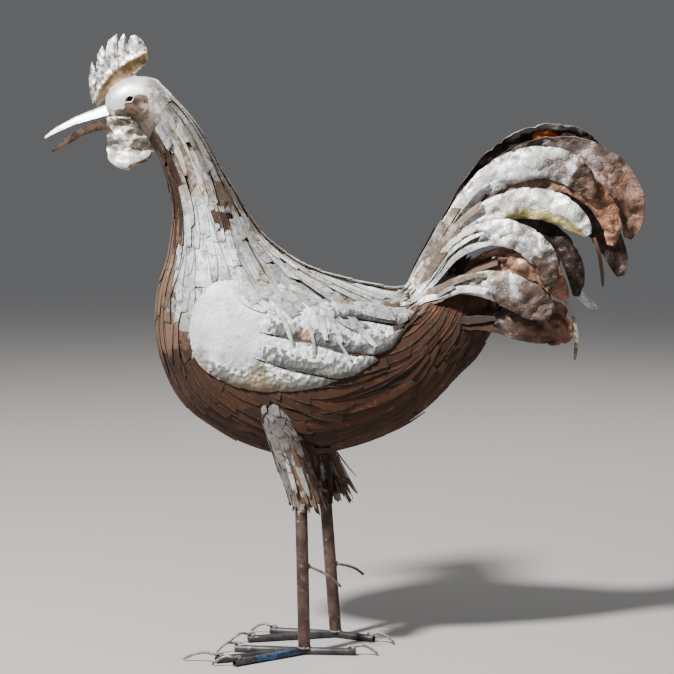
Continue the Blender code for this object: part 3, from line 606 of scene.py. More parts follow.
def bent_sheet(name, columns, rows, shape):
    """A flat grid of so many cells, bent by shape(along, across), both from 0 to 1, which gives
    a place and how proud the sheet is there, from 0 in a hollow to 1 on a crest."""
    obj = primitive(bpy.ops.mesh.primitive_grid_add, name,
                    x_subdivisions=columns, y_subdivisions=rows, size=1)
    relief = obj.data.attributes.new("relief", 'FLOAT', 'POINT')
    for vertex, entry in zip(obj.data.vertices, relief.data):
        vertex.co, entry.value = shape(vertex.co.x + 0.5, vertex.co.y + 0.5)
    return obj


def thicken(obj, thickness, offset=0.0, degrees=45):
    """Give a bent sheet its thickness and round off its gentle bends."""
    outward(obj)
    modify(obj, 'SOLIDIFY', thickness=thickness, offset=offset)
    outward(obj)
    round_off(obj, degrees)


def duplicate(obj, name):
    """A copy with its own mesh."""
    made = obj.copy()
    made.data = obj.data.copy()
    made.name = name
    bpy.context.scene.collection.objects.link(made)
    return made


def join(name, pieces):
    """One object of several."""
    pick(*pieces)
    bpy.ops.object.join()
    obj = bpy.context.object
    obj.name = obj.data.name = name
    return obj


def keep(obj, material, slot, *nodes):
    """Give a finished piece its material and hang it on the bird."""
    obj.data.materials.clear()
    obj.data.materials.append(material)
    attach(obj, "root")
    if nodes:
        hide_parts(*nodes)


def folds(place, size):
    """Crumpled sheet: sharp crests and creases about so far apart, from about -1 to 1."""
    return 3.4 * (abs(noise.noise(place / size)) - abs(noise.noise(place / size + Vector((9, 5, 7)))))


def dents(place, size):
    """Hammered sheet: 0 in the middle of each blow and about 1 on the rims between them."""
    return (noise.noise(place / size, noise_basis='VORONOI_F1') / 2 + 0.5) ** 2 * 1.6


def clamp(value):
    """A value held between 0 and 1."""
    return min(max(value, 0.0), 1.0)


def up(height):
    """A step straight up."""
    return Vector((0, 0, height))


# --- strips of sheet -----------------------------------------------------------------------
STRIP_CELLS = 8
STRIP_SHEET = 0.0011
ACROSS = np.array((-1.0, 0.0, 1.0))
STATIONS = np.linspace(0, 1, STRIP_CELLS + 1)


def strip_blank():
    """The flat strip that every other one is copied from."""
    blank = bent_sheet("strip_blank", STRIP_CELLS, 2, lambda u, v: (Vector((u, v, 0)), 0.5))
    blank.data.attributes.new("patina", 'FLOAT_COLOR', 'POINT')
    return blank


BLANK = strip_blank()
BLANK_ALONG = np.array([round(v.co.x * STRIP_CELLS) for v in BLANK.data.vertices])
BLANK_ACROSS = np.array([round(v.co.y * 2) for v in BLANK.data.vertices])


def lay_strip(place, normals, ways, look, raised=0, lift=(0.0, 0.004), tilt=0.0022, cut=0.0,
              point=0.0, bow=0.0006):
    """A copy of the blank on a grid of places, nine along by three across. Its tail end and the
    edge on its raised side stand off; cut slants the end and point draws it out. The look is one
    patina for the whole strip, or one for each station along it."""
    u = STATIONS[:, None]
    height = (lift[0] + (lift[1] - lift[0]) * u ** 1.6 + tilt * (1 + raised * ACROSS) / 2
              + bow * (1 - ACROSS ** 2))
    place = place + normals * height[..., None]
    half = np.linalg.norm(place[-1, 2] - place[-1, 0]) / 2
    for i, pinch in ((-2, 1 - 0.25 * point), (-1, 1 - 0.72 * point)):
        place[i] = place[i, 1] + (place[i] - place[i, 1]) * pinch
    place[-1] += ways[-1] * (half * (cut * ACROSS * (1 - 0.7 * point) + point))[:, None]
    strip = duplicate(BLANK, "strip")
    strip.data.vertices.foreach_set("co", place[BLANK_ALONG, BLANK_ACROSS].ravel())
    colours = np.ones((len(BLANK_ALONG), 4))
    colours[:, :3] = np.broadcast_to(look, (STRIP_CELLS + 1, 3))[BLANK_ALONG]
    strip.data.attributes["patina"].data.foreach_set("color", colours.ravel())
    return strip


def ribbon(line, normals, width, look, waist=0.85, **shape):
    """A strip along a line of points, with the way out of the surface at each."""
    ways = unit(np.gradient(line, axis=0))
    sides = unit(np.cross(normals, ways))
    half = width / 2 * (waist + (1 - waist) * smooth(0.0, 0.5, np.linspace(0, 1, len(line))))
    place = line[:, None] + sides[:, None] * (half[:, None] * ACROSS)[..., None]
    threes = [np.repeat(a[:, None], 3, axis=1) for a in (normals, ways)]
    return lay_strip(place, *threes, look, **shape)


def finish_strips(name, strips, material, slot, *nodes):
    """Join strips, give them the thickness of the sheet and hang them on the bird."""
    obj = join(name, strips)
    modify(obj, 'SOLIDIFY', thickness=STRIP_SHEET, offset=1.0)
    round_off(obj, 40)
    keep(obj, material, slot, *nodes)


# Seeds of the random draws; each side adds its own number, -1 or 1.
SEEDS = {"body_strips_": 11, "wing_strips_": 70, "covert_strips_": 130, "thigh_strips_": 210,
         "tatters_": 320}
MIDDLE_SEED = 40


def strips_on_both_sides(name, lay, material, slot, node=None):
    """One piece on each side, of the strips that lay(side, rng) gives."""
    for side in (LEFT, RIGHT):
        strips = [strip for strip in lay(side, np.random.default_rng(SEEDS[name] + side)) if strip]
        nodes = [node + SIDE_NAME[side]] if node else []
        finish_strips(name + SIDE_NAME[side], strips, material, slot, *nodes)


def skin(ribs, t, angle, side):
    """Points of a ribbed skin: angle 0 is the back and pi the belly. Past its last rib the skin
    runs straight on."""
    row = spline(ribs, t)
    if np.any(t > 1):
        beyond = np.maximum(np.asarray(t) - 1, 0)[..., None] / 0.01
        row = row + (spline(ribs, 1.0) - spline(ribs, 0.99)) * beyond
    back, front = row[..., 0:2], row[..., 2:4]
    middle = (back + front) / 2 + (back - front) / 2 * np.cos(angle)[..., None]
    y = side * row[..., 4] * np.sin(angle)
    return np.stack([middle[..., 0], y, middle[..., 1]], axis=-1)


def around(ribs, t, angle):
    """A point of a skin at an angle from 0 to 2 pi, left side first, and the middle there."""
    side = LEFT if angle <= math.pi else RIGHT
    row = spline(ribs, t)
    middle = Vector(((row[0] + row[2]) / 2, 0, (row[1] + row[3]) / 2))
    return Vector(skin(ribs, t, min(angle, 2 * math.pi - angle), side)), middle


def skin_ways(ribs, t, angle, side):
    """Ways along and round a skin, per unit of t and of angle."""
    step = 2e-3
    t = np.clip(t, step, 1.0 - step)
    along = (skin(ribs, t + step, angle, side) - skin(ribs, t - step, angle, side)) / (2 * step)
    about = (skin(ribs, t, angle + step, side) - skin(ribs, t, angle - step, side)) / (2 * step)
    return along, about


def skin_strip(t, angle, length, width, look, side, turn=0.0, lean=0.0, crosses=False, raised=0,
               **shape):
    """A strip that lies on the body from (t, angle) on. Turn is its heading off the ribs' own
    lines, towards the belly, and lean how much that changes by its tail end. Only strips that
    cross the middle plane reach past the back or the belly. Look gives the patina along it."""
    run = length / STRIP_CELLS
    rows_t, rows_a = [], []
    for k in range(STRIP_CELLS + 1):
        along, about = skin_ways(BODY_RIBS, t, angle, side)
        size_t, size_a = np.linalg.norm(along), np.linalg.norm(about)
        heading = turn + lean * k / STRIP_CELLS
        half = width / 2 * (0.85 + 0.15 * min(k / 3, 1.0))
        if not crosses:
            margin = half / size_a + 0.05
            angle = min(max(angle, margin), math.pi - margin)
        rows_t.append(t - half * side * ACROSS * math.sin(heading) / size_t)
        rows_a.append(angle + half * side * ACROSS * math.cos(heading) / size_a)
        t += run * math.cos(heading) / size_t
        angle += run * math.sin(heading) / size_a
    t, angle = np.maximum(np.array(rows_t), 0.0), np.array(rows_a)
    place = skin(BODY_RIBS, t, angle, side)
    along, about = skin_ways(BODY_RIBS, t, angle, side)
    normals = unit(side * np.cross(along, about))
    ways = np.repeat(unit(np.gradient(place[:, 1], axis=0))[:, None], 3, axis=1)
    return lay_strip(place, normals, ways, look(t[:, 1], angle[:, 1] / math.pi, place[:, 1]),
                     raised=raised, **shape)


# --- wing shape, which the strips near it have to know -------------------------------------
def wing_depth(x, z):
    """How far out from the middle plane the dish of the wing lies."""
    along, up = x - WING_CENTRE[0], z - WING_CENTRE[1]
    return (WING_OUT - WING_BEND[0] * along ** 2 - WING_BEND[1] * up ** 2
            - WING_TWIST * along * up + WING_FLARE * along ** 4)


def refine(points, parts=3):
    """More points along a smooth curve through the given ones."""
    count = (len(points) - 1) * parts + 1
    return [tuple(p) for p in spline(points, np.linspace(0, 1, count))]


def slit(edge):
    """The same edge again, a slit's width lower, running back out."""
    return [(x, z - SLIT) for x, z in reversed(edge)]


def wing_outline():
    """The wing's outline with its two slits and its notch, as one closed curve."""
    lobe, first, second = (refine(edge) for edge in (LOBE_EDGE, FINGER_1_EDGE, FINGER_2_EDGE))
    points = refine(WING_OUTLINE) + lobe + slit(lobe[:-1]) + [FINGER_1_TIP]
    points += first + slit(first[3:-1]) + [FINGER_2_TIP]
    points += second + slit(second[3:-1]) + [FINGER_3_TIP]
    return points + refine(WING_BELLY + (WING_OUTLINE[0],))[:-1]


WHOLE_WING = np.array(wing_outline())


def inside(outline, x, z):
    """Which of the points lie inside an outline."""
    hits = np.zeros(np.shape(x), bool)
    for (x0, z0), (x1, z1) in zip(outline, np.roll(outline, -1, axis=0)):
        if z0 != z1:
            crosses = (z > min(z0, z1)) & (z <= max(z0, z1))
            hits ^= crosses & (x < x0 + (z - z0) / (z1 - z0) * (x1 - x0))
    return hits


def off_wing_edge(x, z):
    """How far each point lies from the wing's edge."""
    return np.hypot(x[:, None] - WHOLE_WING[:, 0], z[:, None] - WHOLE_WING[:, 1]).min(axis=1)


OVER_WING = 0.0030              # room between the middle of the wing's sheet and a strip over it
UNDER_WING = 0.0062             # and a strip under it
EDGE_DROP = 0.0030              # how much lower than the wing a strip lies right next to its edge
EDGE_ROOM = 0.008               # how far off the edge that holds
EDGE_REACH = 0.020              # strips further off are left alone


def clear_of_wing(strip, side, over):
    """Press a strip down under the wing and next to its edge, or lay it over the wing."""
    place = np.empty(len(strip.data.vertices) * 3)
    strip.data.vertices.foreach_get("co", place)
    place = place.reshape(-1, 3)
    hit = inside(WHOLE_WING, place[:, 0], place[:, 2])
    dish = wing_depth(place[:, 0], place[:, 2])
    out = place[:, 1] * side
    if over:
        pressed = np.where(hit, np.maximum(out, dish + OVER_WING), out)
    else:
        off = off_wing_edge(place[:, 0], place[:, 2])
        room = np.where(hit, -UNDER_WING, np.maximum(off - EDGE_ROOM, 0.0) - EDGE_DROP)
        pressed = np.where((off < EDGE_REACH) | hit, np.minimum(out, dish + room), out)
    place[:, 1] = side * pressed
    strip.data.vertices.foreach_set("co", place.ravel())
    return strip


# --- body ----------------------------------------------------------------------------------
# Zones of strips: first and last t, columns above and below the middle, length from and to.
STRIP_ZONES = (
    (0.90, 0.985, 8, 8, 0.070, 0.110),
    (0.76, 0.915, 10, 19, 0.140, 0.240),
    (0.58, 0.77, 12, 25, 0.170, 0.300),
    (0.43, 0.59, 12, 19, 0.110, 0.190),
    (0.29, 0.44, 10, 9, 0.100, 0.170),
    (0.16, 0.30, 8, 7, 0.100, 0.170),
    (0.0, 0.17, 7, 6, 0.100, 0.170),
)
BARE = 0.60                     # share of a strip's length that the next one leaves bare
RIDGE = 0.035                   # share of the half round left to the strips along the back
# The sheet before and below this edge is rusted: round the front of the neck and the breast,
# under the wing and up to the rump.
RUST_EDGE = (
    (-0.422, 1.159), (-0.394, 1.136), (-0.369, 1.092), (-0.352, 1.035), (-0.350, 0.990),
    (-0.354, 0.943), (-0.355, 0.884), (-0.363, 0.840), (-0.368, 0.760), (-0.360, 0.715),
    (-0.330, 0.690), (-0.290, 0.660), (-0.170, 0.640), (-0.060, 0.645), (0.000, 0.665),
    (0.060, 0.700), (0.110, 0.722), (0.140, 0.728), (0.200, 0.745), (0.262, 0.790),
)
RUST_AREA = np.array(RUST_EDGE + ((0.70, 0.790), (0.70, 0.30), (-0.80, 0.30), (-0.80, 1.159)))
# Patches of the body: middle (x, z), reach along x and z, more rust, more stain.
PATCHES = (
    (-0.272, 0.947, 0.020, 0.022, 0.85, 0.45),
    (-0.285, 1.000, 0.045, 0.050, 0.10, 0.34),
    (-0.254, 0.985, 0.018, 0.050, 0.40, 0.55),
    (-0.214, 0.925, 0.020, 0.022, 0.25, 0.60),
    (-0.172, 0.880, 0.026, 0.016, 0.10, 0.55),
    (-0.335, 1.090, 0.030, 0.070, 0.05, 0.20),
    (-0.360, 1.105, 0.014, 0.016, 0.30, 0.40),
    (-0.322, 0.965, 0.030, 0.036, 0.00, -0.34),
    (-0.300, 0.860, 0.060, 0.060, 0.00, -0.35),
    (-0.365, 0.700, 0.035, 0.060, 0.10, 0.35),
    (-0.180, 0.835, 0.060, 0.014, 0.00, 0.30),
    (0.160, 0.712, 0.040, 0.020, 0.25, 0.45),
    (0.225, 0.770, 0.060, 0.050, 0.90, 0.40),
    (-0.388, 0.770, 0.024, 0.110, -0.46, 0.36),
    (0.180, 0.755, 0.035, 0.035, 0.85, 0.40),
    (0.245, 0.860, 0.045, 0.030, 1.00, 0.00),
)


# The upper edge of the wing, which the strips from the back lap over: x and z.
WING_TOP = ((-0.30, -0.255, -0.181, -0.118, -0.069, -0.02, 0.15),
            (0.80, 0.826, 0.822, 0.807, 0.793, 0.773, 0.775))


def body_look(rng):
    """How a strip's patina follows from where it lies: a function of its t, share and places."""
    shift = rng.uniform(-0.011, 0.011, 2)
    more_stain, tint = rng.uniform(-0.16, 0.16), rng.uniform(0.05, 1.0)

    def look(t, share, place):
        x, z = place[:, 0] + shift[0], place[:, 2] + shift[1]
        rust = sum(inside(RUST_AREA, x + dx, z + dz)
                   for dx, dz in ((0.012, 0), (-0.012, 0), (0, 0.012), (0, -0.012))) / 4
        bare = 0.12 + 0.26 * smooth(0.93, 1.04, z) * smooth(0.46, 0.30, t)
        bare += 0.62 * smooth(0.20, 0.07, share) * smooth(0.60, 0.35, t)
        bare += 0.28 * smooth(0.44, 0.22, share) * smooth(0.38, 0.52, t)
        grey_rust_and_shade = 0.54 - 0.37 * smooth(0.42, 0.60, t) + 0.25 * smooth(0.92, 1.0, share)
        # Less grey rust on the neck front above z 0.92, which darkens it as painted shade.
        grey_rust_and_shade -= 0.50 * smooth(0.92, 1.02, z)
        # Stain along the wing's edge: dirt, and painted shadow of the wing.
        bare += 0.34 * np.exp(-(off_wing_edge(x, z) / 0.010) ** 2)
        for patch_x, patch_z, reach_x, reach_z, more_rust, stain in PATCHES:
            hold = np.exp(-((x - patch_x) / reach_x) ** 2 - ((z - patch_z) / reach_z) ** 2)
            rust, bare = rust + more_rust * hold, bare + stain * hold
        stain = np.where(rust > 0.5, grey_rust_and_shade, bare) + more_stain
        # Darker rust towards the neck and breast; darker still on the neck front above z 0.93, as
        # painted shade.
        dim = (0.20 + 0.60 * smooth(0.42, 0.66, t)) * (1 - 0.8 * smooth(0.93, 1.00, z))
        front = smooth(-0.360, -0.378, x) * smooth(0.64, 0.69, z)
        stain = stain + front * np.where(rust > 0.5, 0.40, 0.14)
        brightness_and_shade = tint * np.where(rust > 0.5, dim, 1 - 0.9 * front) - 0.45 * front * (rust <= 0.5)
        return np.stack([np.clip(rust, 0, 1), np.clip(stain, 0, 1), brightness_and_shade], axis=1)

    return look


def body_strip(t, share, length, width, side, rng):
    """One strip on the body, or nothing where the wing would hide it."""
    angle = share * math.pi
    turn, lean = rng.uniform(-0.03, 0.03), rng.uniform(-0.03, 0.03)
    flank = smooth(0.46, 0.30, share) * smooth(0.08, 0.20, t) * smooth(0.80, 0.55, t)
    breast = 0.30 < t < 0.46 and 0.53 < share < 0.80
    saddle = t > 0.60 and share < 0.45
    belly = t > 0.56 and share > 0.50
    turn += 0.20 * flank
    if breast:
        turn += 0.26
    point = rng.choice((0.0, 0.0, 0.3, 0.7))
    tail_end = rng.uniform(0.0014, 0.0032)
    tilt = rng.uniform(0.0024, 0.0050)
    flat_nape = 1 if share > 0.3 else smooth(0.0, 0.5, t)
    loose = 0.45 + 0.55 * smooth(0.0, 0.12, t) * flat_nape
    tilt, tail_end = tilt * loose, tail_end * loose
    if saddle:
        tilt += rng.uniform(0.0, 0.0030)
    if belly:
        turn += rng.choice((-0.24, -0.14, -0.04, 0.10, 0.30))
        tail_end += rng.choice((0.0, 0.0, 0.002, 0.006)) * smooth(0.55, 0.75, share)
        point = rng.choice((0.0, 0.5, 0.9))
    run = np.linalg.norm(skin_ways(BODY_RIBS, t, angle, side)[0])
    ahead = skin(BODY_RIBS, t + np.linspace(0, 1, 5) * length / run, np.full(5, angle), side)
    hidden = inside(WHOLE_WING, ahead[:, 0], ahead[:, 2])
    x, _, z = ahead[0]
    over = bool(z > np.interp(x, *WING_TOP) - 0.010 and -0.235 < x < 0.14 and share < 0.6)
    if hidden.all() and not over:
        return None
    if over and hidden.sum() > 1:
        length *= 0.45 if share > 0.38 else 0.6
        width *= 0.8
    upward = -1 if t < 0.45 and share > 0.35 else 1
    strip = skin_strip(t, angle, length, width, body_look(rng), side, turn, lean,
                       raised=side * upward, lift=(-0.0003, tail_end), tilt=tilt,
                       cut=rng.uniform(-0.7, 0.7), point=point)
    return clear_of_wing(strip, side, over)


def body_strips(side, rng):
    """Strips from the rump up to the neck, each row lapping over the one behind it."""
    for first, last, upper, lower, short, long in STRIP_ZONES:
        for k in range(upper + lower):
            pitch = (0.5 - RIDGE) / upper if k < upper else 0.5 / lower
            share = RIDGE + (k + 0.5) * pitch if k < upper else 0.5 + (k - upper + 0.5) * pitch
            if k < upper:
                share += 0.10 * (0.5 - share) * (share - RIDGE) / 0.05
            t = first + rng.uniform(-0.01, 0.04) * (first > 0)
            while t < last:
                place = share + rng.uniform(-0.15, 0.15) * pitch
                along, about = skin_ways(BODY_RIBS, t, place * math.pi, side)
                width = np.linalg.norm(about) * math.pi * pitch * rng.uniform(1.42, 1.72)
                length = rng.uniform(short, long) * (rng.uniform(0.4, 1.0) if t == 0 else 1.0)
                yield body_strip(t, place, length, max(width, 0.009), side, rng)
                t += length * BARE / np.linalg.norm(along)


def middle_strips():
    """Strips that cross the middle plane along the back and the belly, and close them."""
    rng = np.random.default_rng(MIDDLE_SEED)
    for share, width in ((0.0, 0.020), (1.0, 0.016)):
        t = 0.0
        while t < 0.96:
            length = rng.uniform(0.10, 0.16)
            along, _ = skin_ways(BODY_RIBS, t, share * math.pi, RIGHT)
            yield skin_strip(t, share * math.pi, length, width, body_look(rng), RIGHT, crosses=True,
                             lift=(0.0016 * (t > 0), 0.0036), tilt=0.0, bow=0.0012,
                             cut=rng.uniform(-0.5, 0.5), point=rng.choice((0.0, 0.5)))
            t += length * 0.7 / np.linalg.norm(along)


CORE_DEPTH = 0.0030


def make_core(material):
    """The inside of the shell, painted dark as the shade that shows only in the gaps between strips."""
    def shape(u, v):
        p, middle = around(BODY_RIBS, clamp((u - 0.02) / 0.96), 2 * math.pi * v)
        p += (middle - p).normalized() * CORE_DEPTH
        return (middle if u in (0, 1) else p), 0.5

    obj = bent_sheet("body_core", 60, 48, shape)
    outward(obj)
    round_off(obj, 60)
    keep(obj, material, "body", "body")


def clad_body():
    """Strips over both flanks of the body, and along its back and belly."""
    material = strip_finish("body strip")
    strips_on_both_sides("body_strips_", body_strips, material, "body")
    finish_strips("body_strips_middle", list(middle_strips()), material, "body")


# --- wing ----------------------------------------------------------------------------------
LAPS = ((np.array(((-0.060, 0.749),) + LOBE_EDGE[::-1] + ((0.117, 0.727),)), 0.030),
        (np.array(FINGER_1_EDGE[::-1] + (FINGER_1_TIP,)), 0.036),
        (np.array(FINGER_2_EDGE[::-1] + (FINGER_2_TIP,)), 0.036),
        (np.array(WING_BELLY[::-1] + (FINGER_3_TIP,)), 0.036))


def lap(x, z):
    """How far a point of the wing stands out or in, and how much it is turned down: each feather
    is rolled in along its lower edge and runs in under that edge of the one above."""
    out = down = 0.0
    for line, reach in LAPS:
        if line[0, 0] - 0.012 < x < line[-1, 0] + 0.02:
            gap = (z - float(np.interp(x, line[:, 0], line[:, 1]))) / reach
            strength = smooth(line[0, 0] - 0.012, line[0, 0] + 0.07, x)
            if gap > 0:
                down = max(down, strength * smooth(1.40, 0.25, gap))
            if 0 < gap < 1:
                roll = 0.0066 * gap * (1 - gap) * 4 * (1.3 - gap)
                out += strength * (roll - 0.0032 * (1 - gap) ** 2)
            elif -1 < gap <= 0:
                out -= strength * 0.0048 * (1 + gap) ** 1.5
    return out, down


BLOW, SMALL_BLOW = 0.0115, 0.0065       # widths of the hammer's dents


def hammered(x, z, down):
    """Dents of a hammer: deepest where the sheet is turned down, almost none on the shoulder;
    gives the height and how proud it is."""
    place = Vector((x, 0.0, z))
    rough = smooth(0.050, 0.125, math.hypot(x + 0.262, (z - 0.745) * 0.9))
    rough *= 0.42 + 0.58 * max(down, 0.8 * smooth(0.68, 0.635, z))
    dent = dents(place, BLOW) * 0.6 + dents(place + Vector((0, 3, 0)), SMALL_BLOW) * 0.4
    swell = noise.noise(place / 0.034)
    height = (0.0006 + 0.0046 * rough) * (dent - 0.4)
    height += 0.0030 * noise.noise(place / 0.060) + 0.0026 * rough * swell
    return height, clamp(0.80 + (dent - 0.46) * (0.2 + 2.0 * rough) + 0.4 * rough * swell)


def cutter(outline, y_low, y_high):
    """An outline in the x-z plane drawn out along y: a cutting tool."""
    obj = primitive(bpy.ops.mesh.primitive_circle_add, "cutter",
                    vertices=len(outline), radius=1, fill_type='NGON')
    for vertex, (x, z) in zip(obj.data.vertices, outline):
        vertex.co = (x, y_low, z)
    bpy.ops.object.mode_set(mode='EDIT')
    bpy.ops.mesh.select_all(action='SELECT')
    bpy.ops.mesh.extrude_region_move(TRANSFORM_OT_translate={"value": (0, y_high - y_low, 0)})
    bpy.ops.object.mode_set(mode='OBJECT')
    outward(obj)
    return obj


def cut_by(obj, tool, operation):
    """Cut with a tool, which is then gone."""
    modify(obj, 'BOOLEAN', operation=operation, solver='EXACT', object=tool)
    bpy.data.objects.remove(tool)


def make_wings():
    """Dishes of hammered sheet cut to the outline; the right one mirrors the left one."""
    material = wing_finish()
    (x_low, z_low), (x_high, z_high) = WHOLE_WING.min(0) - 0.006, WHOLE_WING.max(0) + 0.006

    def dish(u, v):
        x, z = x_low + (x_high - x_low) * u, z_low + (z_high - z_low) * v
        out, down = lap(x, z)
        height, proud = hammered(x, z, down)
        # The relief drops where the sheet is turned down, which the wing's finish paints as shade.
        return (x, -(wing_depth(x, z) + out + height), z), clamp(proud - 0.82 * down)

    left = bent_sheet("wing_sheet_left", 210, 106, dish)
    modify(left, 'SOLIDIFY', thickness=WING_SHEET, offset=0.0)
    outward(left)
    cut_by(left, cutter(WHOLE_WING, -0.21, -0.02), 'INTERSECT')
    outward(left)
    right = duplicate(left, "wing_sheet_right")
    for vertex in right.data.vertices:
        vertex.co.y = -vertex.co.y
    outward(right)
    for side, wing in ((LEFT, left), (RIGHT, right)):
        round_off(wing, 50)
        keep(wing, material, "wing", "wing_" + SIDE_NAME[side])


# Thin strips that run down over the wing: points (x, z) and width.
WING_STRIPS = (
    (((-0.236, 0.812), (-0.222, 0.790), (-0.199, 0.774), (-0.172, 0.762)), 0.014),
    (((-0.215, 0.818), (-0.192, 0.795), (-0.168, 0.772), (-0.150, 0.757)), 0.016),
    (((-0.178, 0.820), (-0.157, 0.800), (-0.139, 0.766), (-0.112, 0.694)), 0.010),
    (((-0.120, 0.812), (-0.086, 0.794), (-0.058, 0.762), (-0.041, 0.704)), 0.016),
    (((-0.090, 0.800), (-0.060, 0.786), (-0.034, 0.752), (-0.008, 0.697)), 0.013),
    (((-0.030, 0.778), (0.008, 0.752), (0.036, 0.716), (0.064, 0.686)), 0.014),
    (((-0.082, 0.742), (-0.073, 0.722), (-0.067, 0.691), (-0.066, 0.664)), 0.007),
    (((-0.018, 0.705), (-0.008, 0.688), (0.001, 0.672), (0.010, 0.658)), 0.006),
    (((-0.020, 0.772), (0.020, 0.764), (0.062, 0.752), (0.104, 0.741)), 0.014),
    (((0.020, 0.774), (0.060, 0.770), (0.102, 0.762), (0.144, 0.752)), 0.012),
    (((-0.140, 0.816), (-0.120, 0.800), (-0.105, 0.780), (-0.096, 0.764)), 0.014),
)


def wing_strips(side, rng):
    """Narrow strips welded over the wing, bridging its slits."""
    step = 1e-3
    for points, width in WING_STRIPS:
        flat = spline(points, STATIONS)
        x, z = flat.T
        out = wing_depth(x, z) + [max(lap(a, b)[0], 0.0) for a, b in flat] + 0.0012
        slope_x = (wing_depth(x + step, z) - wing_depth(x - step, z)) / (2 * step)
        slope_z = (wing_depth(x, z + step) - wing_depth(x, z - step)) / (2 * step)
        normals = unit(np.stack([-slope_x, np.full(len(x), side * 1.0), -slope_z], axis=1))
        look = (0.0, rng.uniform(0.0, 0.2), rng.uniform(0.9, 1.5))
        yield ribbon(np.stack([x, side * out, z], axis=1), normals, width, look, raised=side,
                     lift=(0.0004, 0.0012), tilt=0.0005, cut=rng.uniform(-0.5, 0.5), point=0.6,
                     waist=0.9)


# --- tail ----------------------------------------------------------------------------------
def feather_half_width(s, widest):
    """Narrow at the root, widest past the middle and round at the tip."""
    swell = FEATHER_ROOT + (widest - FEATHER_ROOT) * smooth(0.12, 0.68, s)
    return swell * (math.sqrt(max(1 - ((s - 0.78) / 0.225) ** 2, 0.0)) if s > 0.78 else 1.0)


def feather_spine(row, stations):
    """Centre, way across and half width of a feather at each station, and its plane's normal,
    which points away from the middle plane."""
    down, root_y, yaw, launch, end, length, lateness, widest = row
    centre = RUMP_TOP.lerp(RUMP_FOOT, down) + Vector((0, root_y, 0)) + RUMP_OUT * 0.0012
    ahead = Vector((math.cos(math.radians(yaw)), math.sin(math.radians(yaw)), 0))
    normal = Vector((-ahead.y, ahead.x, 0)) * (LEFT if root_y < 0 else RIGHT)
    rump_line = (ahead * -RUMP_OUT.z + up(RUMP_OUT.x * ahead.x)).normalized()

    def ways(s):
        """Along the feather and across it, in its own plane."""
        turn = math.radians(launch - (launch - end) * s ** lateness)
        return (ahead * math.cos(turn) + up(math.sin(turn)),
                ahead * -math.sin(turn) + up(math.cos(turn)))

    found = []
    parts = 4
    for s, after in zip(stations, stations[1:] + stations[-1:]):
        square = ways(s)[1].lerp(rump_line, 1 - smooth(0.0, 0.12, s)).normalized()
        found.append((centre.copy(), square, feather_half_width(s, widest)))
        for k in range(parts):
            along, _ = ways(s + (after - s) * (k + 0.5) / parts)
            centre += along * (length * (after - s) / parts)
    return found, normal


FEATHER_CELLS = (96, 18)
Y_LIMIT = 0.1925                # no crumple may reach further out or back than this
X_LIMIT = 0.6505


def make_feather(number, row, material, slot):
    """A sickle of crumpled sheet with a ragged edge, dished along its length."""
    columns, rows = FEATHER_CELLS
    swell = 1.28 if number == 2 else 1.0        # the lowest one is broad
    stations = [math.sin(math.pi / 2 * k / columns) * 0.998 for k in range(columns + 1)]
    spine, normal = feather_spine(row, stations)
    apart = Vector((0, number * 1.7, 0))

    def shape(u, v):
        s = stations[round(u * columns)]
        centre, square, half = spine[round(u * columns)]
        across = 2 * v - 1
        half *= 1 + (swell - 1) * smooth(0.1, 0.4, s)
        flat = centre + square * (half * across) + apart
        notch = max(noise.noise(flat / 0.013) - 0.22, 0.0) * smooth(0.35, 0.6, s)
        ragged = (0.08 * noise.noise(flat / 0.045) + 0.06 * noise.noise(flat / 0.016)
                  - 0.35 * notch) * abs(across) ** 3 - 0.03 * abs(across)
        ease = smooth(0.0, 0.22, s)
        big, small = folds(flat, 0.060), folds(flat + apart, 0.024)
        depth = 0.18 * half * (1 - across ** 2) - 0.0030 * ease * abs(across) ** 4
        depth += ease * (0.0040 * big + 0.0020 * small + 0.0090 * noise.noise(flat / 0.085))
        depth += ease * 0.0080 * across * noise.noise(Vector((s * 5, number, 0)))
        place = centre + square * (half * across * (1 + ragged)) + normal * depth
        place.y = min(max(place.y, -Y_LIMIT), Y_LIMIT)
        place.x = min(place.x, X_LIMIT)
        return place, clamp(0.5 + 0.32 * big + 0.22 * small)

    obj = bent_sheet(f"feather_{number:02d}", columns, rows, shape)
    thicken(obj, FEATHER_SHEET, degrees=28)
    keep(obj, material, slot, f"tail_feather_{number:02d}")


